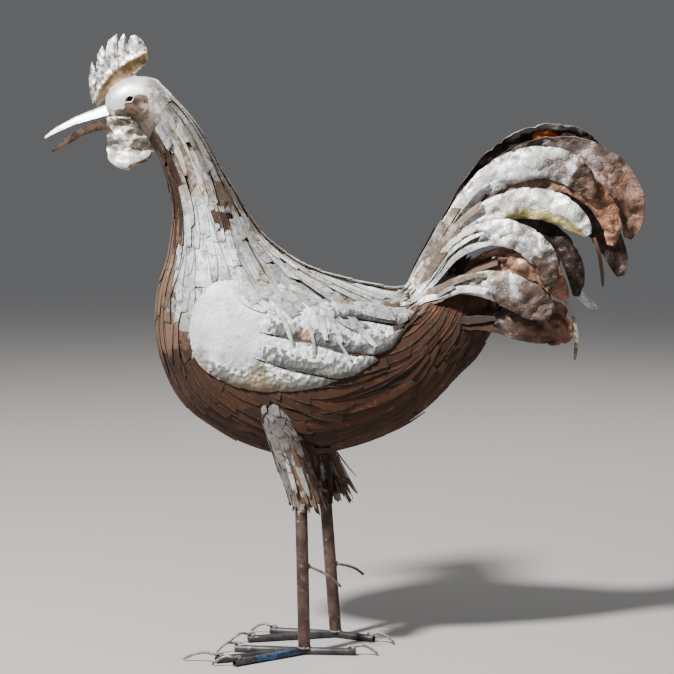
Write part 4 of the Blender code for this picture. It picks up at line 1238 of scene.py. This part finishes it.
def make_tail():
    """All the feathers, each in its own tones."""
    umber = (0.075, 0.046, 0.033)
    silver = feather_finish("feather silver", (0.78, 0.78, 0.79), (0.13, 0.078, 0.055), 0.60,
                            (0.20, 0.165, 0.15))
    browned = feather_finish("feather brown tipped", (0.80, 0.795, 0.81), (0.105, 0.066, 0.050), 0.54,
                             (0.17, 0.135, 0.115), root=(0.34, 0.28, 0.25))
    hemmed = feather_finish("feather yellow hemmed", (0.84, 0.845, 0.84), (0.50, 0.42, 0.28), 0.90,
                            (0.38, 0.345, 0.30), hem=(0.50, 0.40, 0.18))
    rooted = feather_finish("feather olive rooted", (0.60, 0.595, 0.61), umber, 0.42,
                            (0.12, 0.088, 0.066), hem=umber, root=(0.30, 0.28, 0.13))
    pink = feather_finish("feather pink brown", (0.62, 0.50, 0.47), (0.170, 0.086, 0.055), 0.50,
                          (0.20, 0.125, 0.100), root=(0.030, 0.020, 0.016), root_to=0.53)
    copper = feather_finish("feather copper brown", (0.36, 0.205, 0.142), (0.40, 0.195, 0.112), 0.45,
                            (0.115, 0.060, 0.040))
    dark = feather_finish("feather dark", (0.036, 0.022, 0.018), (0.055, 0.030, 0.020), 0.60,
                          (0.012, 0.008, 0.007))
    rusty = feather_finish("feather red brown", (0.085, 0.038, 0.022), (0.16, 0.068, 0.038), 0.55,
                           (0.040, 0.020, 0.013), root=(0.14, 0.110, 0.100), root_to=0.42)
    # Near-black: dark metal, and painted shade on its hollow inner face; its crest is a painted
    # highlight along the lit top edge.
    dark_shaded_spotted = feather_finish("feather orange spot", (0.034, 0.021, 0.017), (0.30, 0.26, 0.24), 0.84,
                           (0.020, 0.012, 0.009), crest=(0.30, 0.30, 0.27),
                           spot=((0.437, 0.075, 1.123), 0.034, (0.8, 0.1, 1.5)))
    finishes = {1: rooted, 2: rusty, 3: browned, 4: copper, 5: hemmed, 6: dark, 7: silver,
                8: copper, 9: pink, 10: dark_shaded_spotted, 11: dark, 12: dark, 13: copper, 14: pink,
                15: rusty, 16: rusty}
    for number, row in enumerate(TAIL_FEATHERS, 1):
        slot = "tail_pale" if number in (1, 3, 5, 7) else "tail_brown"
        make_feather(number, row, finishes[number], slot)


def covert_line(row, side, reach, across, off, angle, start):
    """A line from the back of the body on to the root of a feather and up along it, and the
    ways out of it."""
    spine, normal = feather_spine(row, [reach * k / 8 for k in range(9)])
    points = [Vector(skin(BODY_RIBS, t, angle, side)) + Vector((0, side * 0.002, 0.004))
              for t in (start, (start + 1) / 2)]
    for k in (2, 4, 6, 8):
        centre, square, half = spine[k]
        points.append(centre + square * (half * across) + normal * off)
    line = spline([tuple(p) for p in points], STATIONS)
    ways = unit(np.gradient(line, axis=0))
    out = np.array(normal * 0.8 + Vector((-0.2, side * 0.5, 0.25)))
    return line, unit(out - ways * (ways @ out)[:, None])


def covert_strips(side, rng):
    """Narrow strips that carry the lines of the back on to the roots of the tail feathers."""
    for number, row in enumerate(TAIL_FEATHERS, 1):
        if number >= 10 if side == LEFT else number <= 8:
            continue
        down = row[0]
        low = down > 0.55
        brown = 0.75 * (down > 0.4 or side == RIGHT or number in (6, 8, 9))
        for across in (-0.6, 0.0, 0.6) if low else (-0.8, -0.5, -0.2, 0.1, 0.4, 0.7, 0.95):
            angle = math.pi * (0.07 + 0.46 * down + 0.05 * (1 - across) + rng.uniform(-0.03, 0.03))
            line, out = covert_line(row, side, rng.uniform(0.20, 0.52),
                                    across * 0.9 + rng.uniform(-0.12, 0.12),
                                    rng.uniform(0.0040, 0.0100), angle, rng.uniform(0.76, 0.90))
            stain = rng.uniform(0.30, 0.85) * (0.3 if low else 1.0)
            look = (rng.uniform(0.0, 0.25) + brown, stain, rng.uniform(-0.6, 0.6))
            yield ribbon(line, out, rng.uniform(0.011, 0.019), look, raised=side,
                         lift=(0.0, rng.uniform(0.0005, 0.0040)), tilt=rng.uniform(0.001, 0.004),
                         cut=rng.uniform(-0.8, 0.8), point=rng.choice((0.0, 0.8)))


# Loose scraps in the tail: points, width and look.
TAIL_SCRAPS = (
    (((0.462, -0.060, 0.800), (0.482, -0.060, 0.765), (0.500, -0.060, 0.705), (0.497, -0.060, 0.650)),
     0.009, (0.35, 0.7, 0.6)),
    (((0.498, -0.032, 0.800), (0.512, -0.031, 0.784), (0.526, -0.030, 0.770), (0.539, -0.029, 0.758)),
     0.022, (0.0, 0.0, 1.0)),
    (((0.545, 0.026, 0.905), (0.556, 0.028, 0.870), (0.563, 0.030, 0.830), (0.565, 0.031, 0.800)),
     0.008, (0.9, 0.9, 1.0)),
)


def hang_scraps():
    """Scraps of sheet that hang loose between the feathers."""
    strips = []
    for points, width, look in TAIL_SCRAPS:
        line = spline(points, STATIONS)
        normals = unit(np.tile((0.1, -1.0, 0.1), (len(line), 1)))
        strips.append(ribbon(line, normals, width, look, lift=(0, 0.002), point=0.7, cut=0.3))
    finish_strips("tail_scraps", strips, strip_finish("tail scrap"), "tail_brown")


# --- head ----------------------------------------------------------------------------------
def eye_loop(half, count=32):
    """An almond round the eye with a corner at each end, tilted as the eye is."""
    points = []
    for k in range(count):
        a = 2 * math.pi * k / count
        u = half[0] * math.cos(a) * (1 + 0.22 * abs(math.cos(a)) ** 6)
        v = half[1] * math.sin(a) * (1 - 0.10 * abs(math.cos(a)))
        points.append((EYE[0] + u * math.cos(EYE_TILT) - v * math.sin(EYE_TILT),
                       EYE[1] + u * math.sin(EYE_TILT) + v * math.cos(EYE_TILT)))
    return points


NECK_LAP = 0.10                 # share of the head sheet that laps over the neck
NAPE = 0.052                    # how far down the neck it reaches, as a t of the body
NOSE = 0.93                     # where the front end starts to close


def head_surface(s, angle):
    """The head sheet from the nape, which laps over the neck, to its closed front end."""
    if s < NECK_LAP:
        ribs, t = BODY_RIBS, NAPE * (1 - s / NECK_LAP)
    else:
        ribs, t = HEAD_RIBS, min((s - NECK_LAP) / (NOSE - NECK_LAP), 1.0)
    p, middle = around(ribs, t, angle)
    rise = 0.0004 + 0.0030 * smooth(0.42, 0.06, s) + 0.0010 * noise.noise(p / 0.030)
    p += (p - middle).normalized() * rise
    if s > NOSE:
        close = (s - NOSE) / (1 - NOSE)
        p = p.lerp(middle, close) + Vector((-0.0020 * math.sin(close * math.pi / 2), 0, 0))
    return p


def make_head():
    """The dome with its two eye holes, and their rims."""
    def shape(u, v):
        jag = 0.5 + 0.5 * noise.noise(Vector((v * 22, 0, 0)))
        ragged = 0.016 * jag * smooth(0.10, 0.0, u)
        return head_surface(min(u + ragged, 1.0), 2 * math.pi * v), 0.5

    obj = bent_sheet("head_dome", 56, 72, shape)
    thicken(obj, HEAD_SHEET, -1.0)
    for side in (LEFT, RIGHT):
        low, high = sorted((side * 0.020, side * 0.060))
        cut_by(obj, cutter(eye_loop(EYE_HOLE), low, high), 'DIFFERENCE')
    round_off(obj, 40)
    keep(obj, head_finish(), "head")
    bright = plain_finish("eye rim metal", (0.84, 0.84, 0.82), (0.60, 0.59, 0.56), 120, 0.30, 0.6)
    for side in (LEFT, RIGHT):
        keep(eye_rim(side), bright, "eye", "eye_" + SIDE_NAME[side])


def head_side(x, z):
    """How far out the head's side lies at (x, z)."""
    rows = spline(HEAD_RIBS, np.linspace(0.2, 0.8, 121))
    half, middle = (rows[:, 0:2] - rows[:, 2:4]) / 2, (rows[:, 0:2] + rows[:, 2:4]) / 2
    flat = np.array([x, z]) - middle
    off = np.abs(flat[:, 0] * half[:, 1] - flat[:, 1] * half[:, 0]) / np.linalg.norm(half, axis=1)
    k = int(np.argmin(off))
    along = flat[k] @ half[k] / (half[k] @ half[k])
    return rows[k, 4] * math.sqrt(1 - along * along) + 0.0006


def eye_rim(side):
    """An almond ring of bright wire pressed round the eye hole."""
    inner, outer = eye_loop(EYE_HOLE), eye_loop(EYE_RIM)
    count = len(inner)
    obj = primitive(bpy.ops.mesh.primitive_torus_add, "eye_ring_" + SIDE_NAME[side],
                    major_segments=count, minor_segments=10, major_radius=1.0, minor_radius=0.25)
    for vertex in obj.data.vertices:
        x, y, z = vertex.co
        k = round(math.atan2(y, x) / (2 * math.pi) * count) % count
        f = clamp(0.5 - (math.hypot(x, y) - 1.0) * 2)
        px = inner[k][0] * f + outer[k][0] * (1 - f)
        pz = inner[k][1] * f + outer[k][1] * (1 - f)
        vertex.co = (px, side * (head_side(px, pz) + 0.0005 + z * 0.0038), pz)
    outward(obj)
    round_off(obj, 60)
    return obj


COMB_VALLEYS = (0, 4, 7, 10, 13, 17)    # the comb points at its two ends and between its tips
CREASE_AT = 0.6                 # share of the comb's sheet that stands above its crease


def make_comb():
    """A cupped sheet: five hammered points, a crease, and a gutter with a rolled rim."""
    fine = 5
    points = []
    for (x0, z0), (x1, z1) in zip(COMB_POINTS, COMB_POINTS[1:]):
        points += [(x0 + (x1 - x0) * k / fine, z0 + (z1 - z0) * k / fine) for k in range(fine)]
    points.append(COMB_POINTS[-1])
    columns = len(points) - 1
    valleys = [i * fine for i in COMB_VALLEYS]

    def shape(u, v):
        i = round(u * columns)
        t = i / columns
        top, crease, rim = np.array(points[i]), spline(COMB_CREASE, t), spline(COMB_RIM, t)
        cup = 0.0060 * min(min(abs(i - k) for k in valleys) / (1.5 * fine), 1.0)
        if v < CREASE_AT:
            f = v / CREASE_AT
            x, z = top + (crease - top) * f
            y = 0.004 - 0.013 * f ** 1.5 - cup * math.sin(math.pi * min(f * 1.3, 1.0))
        else:
            f = (v - CREASE_AT) / (1 - CREASE_AT)
            x, z = crease + (rim - crease) * f
            x += 0.0060 * math.sin(math.pi * f) * t ** 10
            y = -0.009 + 0.013 * f - 0.004 * math.sin(math.pi * f)
        flat = Vector((x, 0, z))
        dent = dents(flat, 0.010)
        y += 0.0016 * noise.noise(flat / 0.018) + 0.0016 * (dent - 0.4)
        return (x, y, z), clamp(0.5 + (dent - 0.4) * 1.1)

    obj = bent_sheet("comb_sheet", columns, 22, shape)
    thicken(obj, COMB_SHEET, degrees=50)
    keep(obj, comb_finish(), "comb", "comb")


WATTLE_X, WATTLE_TOP = -0.4825, 1.170
WATTLE_DROP = 0.103
FAR_DROP = 0.009                # how much lower the right one hangs


def make_wattles():
    """Two hammered tongues of sheet; the right one hangs lower, and its lower end is painted dark brown
    as shade.
    """
    # The right one's dark brown lower end is painted shade.
    finishes = {LEFT: wattle_finish("wattle sheet", (0.92, 0.92, 0.90), (0.70, 0.69, 0.66)),
                RIGHT: wattle_finish("brown wattle sheet", (0.24, 0.17, 0.13), (0.10, 0.07, 0.055))}
    for side in (LEFT, RIGHT):
        drop = WATTLE_DROP + (FAR_DROP if side == RIGHT else 0.0)

        def shape(u, v):
            s = 0.004 + 0.995 * u
            tuck = smooth(0, 0.7, s)
            round_end = max(1 - ((s - 0.66) / 0.34) ** 2.6, 0.0) ** 0.42 if s > 0.66 else 1.0
            across = 2 * v - 1
            edge = Vector((s * 9, across, side * 2.0))
            half = (0.030 + 0.0175 * tuck) * round_end * (1 + 0.05 * noise.noise(edge))
            x = WATTLE_X + 0.018 * tuck + half * across
            z = WATTLE_TOP - drop * (s - 0.06 * tuck * across)
            flat = Vector((x, side, z))
            dent = dents(flat, 0.016)
            out = 0.021 + 0.013 * s + 0.006 * (1 - across * across)
            out += 0.0035 * noise.noise(flat / 0.028) + 0.0026 * (dent - 0.4)
            return (x, side * out, z), clamp(0.5 + (dent - 0.4) * 1.1)

        obj = bent_sheet("wattle_sheet_" + SIDE_NAME[side], 40, 28, shape)
        thicken(obj, WATTLE_SHEET, degrees=50)
        keep(obj, finishes[side], "wattle", "wattle_" + SIDE_NAME[side])


def make_beak(name, rows, material):
    """A strip of sheet folded lengthwise into a beak."""
    def shape(u, v):
        x, ridge, edge, half = spline(rows, 0.004 + 0.992 * u)
        across = 2 * v - 1
        z = edge + (ridge - edge) * (1 - abs(across) ** 2.2)
        place = Vector((x, half * across, z))
        return place + up(0.0010 * noise.noise(place / 0.014)), 0.5

    obj = bent_sheet("beak_sheet_" + name, 30, 14, shape)
    thicken(obj, BEAK_SHEET, -1.0, 50)
    keep(obj, material, "beak_" + name, "beak_" + name)


def make_beaks():
    """A pale upper beak and a brown lower one: rust, darkened as painted shade under the upper beak."""
    make_beak("upper", UPPER_BEAK, plain_finish(
        "upper beak metal", (0.88, 0.88, 0.86), (0.60, 0.60, 0.58), 46, 0.36, 0.5))
    # Dark brown lower beak: rust, and painted shade under the upper beak.
    make_beak("lower", LOWER_BEAK, plain_finish(
        "lower beak metal", (0.17, 0.105, 0.072), (0.050, 0.028, 0.018), 60, 0.45, 0.3))


# --- thighs, legs and feet -----------------------------------------------------------------
def thigh_point(t, angle, side, lift=0.0):
    """A point of a thigh; t runs down it and angle 0 is its rear."""
    x, out, z, half_x, half_y = spline(THIGH_RINGS, t)
    stride = 0.0 if side == LEFT else STRIDE
    return np.array([x + stride + (half_x + lift) * math.cos(angle),
                     side * out + (half_y + lift) * math.sin(angle), z - FEET[side]["drop"] * t])


THIGH_ROWS, THIGH_COLUMNS = 13, 7
LOWEST_ROW, ROWS_REACH = 0.86, 0.80     # where the strips' rows start, and how far up they go


def thigh_strips(side, rng):
    """Short strips up a thigh, each row lapping over the one below it."""
    for row in range(THIGH_ROWS):
        t = LOWEST_ROW - ROWS_REACH * row / (THIGH_ROWS - 1)
        tucked = 0.0030 - 0.0075 * smooth(0.30, 0.06, t)
        for k in range(THIGH_COLUMNS):
            turned = k + 0.5 * (row % 2) + rng.uniform(-0.15, 0.15)
            angle = 2 * math.pi * turned / THIGH_COLUMNS
            drift = side * rng.uniform(-0.65, -0.15)
            reach = rng.uniform(0.15, 0.21)
            angles = angle + drift * STATIONS
            line = np.array([thigh_point(min(t + reach * f, 1.0), a, side)
                             for f, a in zip(STATIONS, angles)])
            out = unit(np.stack([np.cos(angles), np.sin(angles), np.full(len(angles), 0.12)], axis=1))
            rear = max(0.0, math.cos(angle))
            brown = clamp(0.14 + 0.66 * rear * rear + rng.uniform(-0.12, 0.16))
            look = (brown, rng.uniform(-0.1, 0.22), rng.uniform(-0.2, 1.0))
            yield ribbon(line, out, rng.uniform(0.020, 0.029), look, raised=1,
                         lift=(tucked, 0.0058 + 0.004 * rear * rng.random()), tilt=0.0014,
                         cut=rng.uniform(-0.9, 0.9), point=rng.choice((0.0, 0.6, 0.9)), waist=0.9)


# Fringes: how far the tatters flare, how many there are, and how low they hang.
FRINGES = {LEFT: (0.030, 40, 0.330), RIGHT: (0.052, 52, 0.326)}


def tatters(side, rng):
    """Ragged tatters of rusty sheet that hang round the rear of a thigh."""
    heights = -THIGH_RINGS[:, 2]
    flare, count, tip_z = FRINGES[side]
    for k in range(count):
        angle = math.radians(118) * rng.uniform(-1, 1)
        top = rng.uniform(0.395, 0.450) if k % 3 else rng.uniform(0.430, 0.475)
        bottom = tip_z + 0.022 * rng.uniform(-0.9, 1.8)
        spread = flare * math.cos(angle / 2) * rng.uniform(0.25, 1.0)
        curl = rng.uniform(-0.3, 0.3)
        line, out = [], []
        for f in STATIONS:
            z = top + (bottom - top) * f
            t = float(np.interp(-z, heights, np.linspace(0, 1, len(heights))))
            a = angle + curl * f
            place = thigh_point(t, a, side, 0.0055 + spread * f ** 1.7)
            line.append((place[0], place[1], z))
            out.append((math.cos(a), math.sin(a), 0.45 * f))
        look = (rng.uniform(0.35, 1.0), rng.uniform(0.2, 1.0), rng.uniform(0.1, 0.9))
        yield ribbon(np.array(line), unit(np.array(out)), rng.uniform(0.007, 0.015), look, raised=1,
                     lift=(0.0, 0.002), tilt=rng.uniform(0.0, 0.004), cut=rng.uniform(-1, 1),
                     point=rng.choice((0.3, 0.9)))


def open_pipe(name, start, end, outside, wall):
    """A length of pipe between two points, open at both ends, with its edges broken."""
    way = end - start
    obj = primitive(bpy.ops.mesh.primitive_cylinder_add, name, vertices=36, radius=outside / 2,
                    depth=way.length, end_fill_type='NOTHING', location=(start + end) / 2,
                    rotation=way.to_track_quat('Z', 'Y').to_euler())
    bpy.ops.object.transform_apply(location=True, rotation=True, scale=True)
    modify(obj, 'SOLIDIFY', thickness=wall, offset=-1.0)
    modify(obj, 'BEVEL', width=0.0006, segments=2, limit_method='ANGLE')
    outward(obj)
    round_off(obj, 35)
    return obj


def bent_wire(name, points, diameter):
    """A rod bent through a few points, thinner at its two cut ends."""
    obj = primitive(bpy.ops.curve.primitive_nurbs_path_add, name)
    curve = obj.data
    curve.splines.clear()
    route = spline([tuple(p) for p in points], np.linspace(0, 1, 17))
    line = curve.splines.new('POLY')
    line.points.add(len(route) - 1)
    for k, (point, place) in enumerate(zip(line.points, route)):
        point.co = (*place, 1)
        point.radius = 0.80 if k in (0, len(route) - 1) else 1.0
    curve.bevel_depth = diameter / 2
    curve.bevel_resolution = 3
    curve.use_fill_caps = True
    pick(obj)
    bpy.ops.object.convert(target='MESH')
    outward(obj)
    round_off(obj, 50)
    return obj


def weld_beads(name, spots, material, slot):
    """Lumps of weld run together; each spot is a place and a radius."""
    blank = primitive(bpy.ops.mesh.primitive_ico_sphere_add, "bead", subdivisions=2, radius=1)
    lumps = []
    for place, radius in spots:
        lump = duplicate(blank, "lump")
        middle = Vector(place)
        for vertex in lump.data.vertices:
            away = vertex.co * radius
            vertex.co = middle + away * (1 + 0.35 * noise.noise((middle + away) * 300))
            vertex.co.z = max(vertex.co.z, 0.0006)
        lumps.append(lump)
    bpy.data.objects.remove(blank)
    obj = join(name, lumps)
    round_off(obj, 60)
    keep(obj, material, slot)


ANKLE_BEADS = 22


def claw_points(toe_end, way, tip):
    """The route of a claw: along the top of the toe, over its end and down to the ground."""
    top = TOE_PIPE + WIRE / 2 + WELD_GAP
    end = Vector((toe_end.x, toe_end.y, 0))
    reach = Vector((*tip, 0)) - end
    return [end - way * 0.016 + up(top), end + way * 0.003 + up(top + 0.001),
            end + reach * 0.35 + up(top + 0.003), end + reach * 0.72 + up(top * 0.75),
            end + reach + up(WIRE / 2 + WELD_GAP)]


def make_toe(toe, foot, ankle, pipe, wire):
    """A toe and its claw; gives the spots of the weld between the two."""
    toe_name, heading, length, tip = toe
    name = toe_name + "_" + foot
    turn = math.radians(heading)
    way = Vector((-math.cos(turn), -math.sin(turn), 0))
    start = ankle + way * (-0.012 if toe_name == "middle" else 0.004)
    end = ankle + way * length
    keep(open_pipe("toe_pipe_" + name, start, end, TOE_PIPE, TOE_WALL), pipe, "toe", "toe_" + name)
    claw = bent_wire("claw_wire_" + name, claw_points(end, way, tip), WIRE)
    keep(claw, wire, "claw", "claw_" + name)
    across = Vector((-way.y, way.x, 0)) * 0.003
    on_top = end + up(TOE_PIPE / 2 + 0.0005)
    return [(on_top - way * d + across * math.copysign(1, d - 0.009), 0.0034)
            for d in (0.015, 0.012, 0.010, 0.007, 0.004, 0.002)]


def make_spur(plan, foot, bottom, top, wire):
    """The bent wire behind a leg; gives the spots of its weld."""
    start_z, tip_x, tip_z = plan
    leg_at = bottom.lerp(top, (start_z - bottom.z) / (top.z - bottom.z))
    root = Vector((leg_at.x + LEG_PIPE / 2 + 0.0018, leg_at.y, start_z))
    tip = Vector((tip_x, leg_at.y, tip_z))
    route = [root, root.lerp(tip, 0.36) + up(0.005), root.lerp(tip, 0.7) + up(0.006), tip]
    keep(bent_wire("spur_wire_" + foot, route, WIRE), wire, "spur", "spur_" + foot)
    return [(root + Vector((-0.002, 0, h)), 0.0036) for h in (-0.003, 0.0, 0.0035)]


def make_legs():
    """Pipe legs with their toes, claws and spurs, and the welds between them."""
    brown = pipe_finish("leg pipe", (0.115, 0.070, 0.054), (0.055, 0.032, 0.025), (0.25, 0.22, 0.20))
    tones = (0.060, 0.055, 0.058), (0.026, 0.023, 0.025), (0.16, 0.148, 0.14)
    grey = pipe_finish("toe pipe", *tones)
    painted = pipe_finish("painted toe pipe", *tones, paint=(-0.188, -0.112))
    wire = plain_finish("claw wire", (0.30, 0.295, 0.29), (0.12, 0.11, 0.105), 90, 0.42, 0.55)
    old_wire = plain_finish("spur wire", (0.22, 0.155, 0.12), (0.10, 0.065, 0.05), 90, 0.52, 0.45)
    weld = plain_finish("foot weld metal", (0.26, 0.26, 0.26), (0.12, 0.11, 0.11), 160, 0.45, 0.5,
                        0.0015)
    for side, plan in FEET.items():
        foot = SIDE_NAME[side]
        ankle = Vector((*plan["ankle"], TOE_PIPE / 2))
        bottom = Vector((*plan["ankle"], TOE_PIPE + WELD_GAP))
        top = Vector((*plan["top"], THIGH_RINGS[-1][2] - plan["drop"] - WELD_GAP))
        leg = open_pipe("leg_pipe_" + foot, bottom, top, LEG_PIPE, LEG_WALL)
        keep(leg, brown, "leg", "leg_" + foot)
        spots = []
        for k in range(ANKLE_BEADS):
            a = 2 * math.pi * k / ANKLE_BEADS
            ring = Vector((math.cos(a), math.sin(a), -0.10)) * (LEG_PIPE / 2 - 0.001)
            spots.append((bottom + ring, 0.0028 + 0.0007 * math.sin(k * 2.4)))
        for toe in plan["toes"]:
            pipe = painted if (side, toe[0]) == (LEFT, "outer") else grey
            spots += make_toe(toe, foot, ankle, pipe, wire)
        spots += make_spur(plan["spur"], foot, bottom, top, old_wire)
        weld_beads("foot_welds_" + foot, spots, weld, "leg")


COMB_FOOT = ((-0.536, 1.194), (-0.513, 1.219), (-0.486, 1.243), (-0.452, 1.257))
BEAK_ROOT = ((0.004, 1.199), (0.009, 1.196), (0.013, 1.190), (0.016, 1.182), (0.017, 1.176))


def weld_head():
    """Beads along the comb's foot, round the beak's root and along the top of each wattle."""
    spots = [((x, 0.002, z), 0.0022) for x, z in refine(COMB_FOOT, 8)]
    for side in (LEFT, RIGHT):
        spots += [((-0.5085, side * y, z), 0.0021) for y, z in BEAK_ROOT]
        for k in range(13):
            place = (-0.507 + 0.0037 * k, side * (0.0265 + 0.0008 * k), 1.168 + 0.0008 * math.sin(k * 5))
            spots.append((place, 0.0017 + 0.0004 * math.sin(k * 2.1)))
    weld = plain_finish("head weld metal", (0.62, 0.60, 0.57), (0.26, 0.22, 0.19), 160, 0.42, 0.5,
                        0.0012)
    weld_beads("head_welds", spots, weld, "head")


# --- what stays as packed ------------------------------------------------------------------
def finish_inside():
    """The solid head and thighs stay under the sheet and show only in its gaps; like the inside of the
    shell they are painted dark, as shade.
    """
    # Dark lining: painted shade for what shows in the gaps under the sheet.
    lining = plain_finish("dark lining", (0.135, 0.100, 0.080), (0.050, 0.034, 0.026), 30, 0.7, 0.2)
    make_core(lining)
    for name in ("head", "thigh_left", "thigh_right"):
        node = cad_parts[name]
        node.data.materials.clear()
        node.data.materials.append(lining)


# --- studio --------------------------------------------------------------------------------
def area_light(name, place, aim, size, power, tone):
    """A round soft light that faces a point."""
    light = bpy.data.lights.new(name, 'AREA')
    light.shape = 'DISK'
    light.size = size
    light.energy = power
    light.color = tone
    obj = bpy.data.objects.new(name, light)
    bpy.context.scene.collection.objects.link(obj)
    obj.location = place
    obj.rotation_euler = (Vector(aim) - Vector(place)).to_track_quat('-Z', 'Y').to_euler()


AMBIENT = (0.125, 0.128, 0.133)
FLOOR_GAP = 0.0004
CAMERA_PLACE = (-0.017, -5.5, 1.35)
CAMERA_TILT = 90 - 6.85         # degrees up from straight down
LENS = 135.35
# Lights: name, place, what it is aimed at, size, power and tone.
LIGHTS = (
    ("key", (-3.0, -2.9, 5.2), (0, 0, 0.75), 0.7, 1260, (1, 0.98, 0.95)),
    ("fill", (3.6, -3.0, 2.0), (0, 0, 0.7), 3.0, 12, (0.95, 0.97, 1)),
    ("back", (1.5, 3.8, 3.6), (0, 0, 0.8), 2.0, 110, (1, 1, 1)),
)


def floor_finish():
    """Pale paint that far away from the bird fades into a glow in the tone of the studio."""
    f = Finish("floor paint")
    far = f.distance((0, 0, 0), (1, 1, 0)).above(2.2, 9.0)
    f.feed(f.shader.inputs["Base Color"], f.mix(far, (0.37, 0.36, 0.35), (0, 0, 0)))
    f.feed(f.shader.inputs["Emission Color"], f.mix(far, (0, 0, 0), AMBIENT))
    f.shader.inputs["Emission Strength"].default_value = 1.0
    f.shader.inputs["Roughness"].default_value = 1.0
    f.shader.inputs["Specular IOR Level"].default_value = 0.0
    return f.material


def studio():
    """Pale floor, soft light and the camera."""
    floor = primitive(bpy.ops.mesh.primitive_plane_add, "floor", size=200,
                      location=(0, 0, -FLOOR_GAP))
    floor.data.materials.append(floor_finish())
    world = bpy.data.worlds.new("studio")
    bpy.context.scene.world = world
    world.use_nodes = True
    backdrop = world.node_tree.nodes["Background"]
    backdrop.inputs["Color"].default_value = (*AMBIENT, 1)
    backdrop.inputs["Strength"].default_value = 1.0
    for light in LIGHTS:
        area_light(*light)
    camera = bpy.data.objects.new("camera", bpy.data.cameras.new("camera"))
    bpy.context.scene.collection.objects.link(camera)
    camera.data.sensor_width = 36
    camera.data.lens = LENS
    camera.location = CAMERA_PLACE
    camera.rotation_euler = (math.radians(CAMERA_TILT), 0, 0)
    bpy.context.scene.camera = camera


finish_inside()
clad_body()
make_wings()
strips_on_both_sides("wing_strips_", wing_strips, strip_finish("wing strip"), "wing")
make_tail()
strips_on_both_sides("covert_strips_", covert_strips, strip_finish("covert strip"), "tail_pale")
hang_scraps()
make_head()
make_comb()
make_wattles()
make_beaks()
weld_head()
strips_on_both_sides("thigh_strips_", thigh_strips,
                     strip_finish("thigh strip", (0.17, 0.15, 0.145), (0.27, 0.245, 0.235)), "thigh")
strips_on_both_sides("tatters_", tatters, strip_finish("tatter"), "fringe", "fringe_")
make_legs()
bpy.data.objects.remove(BLANK)
studio()
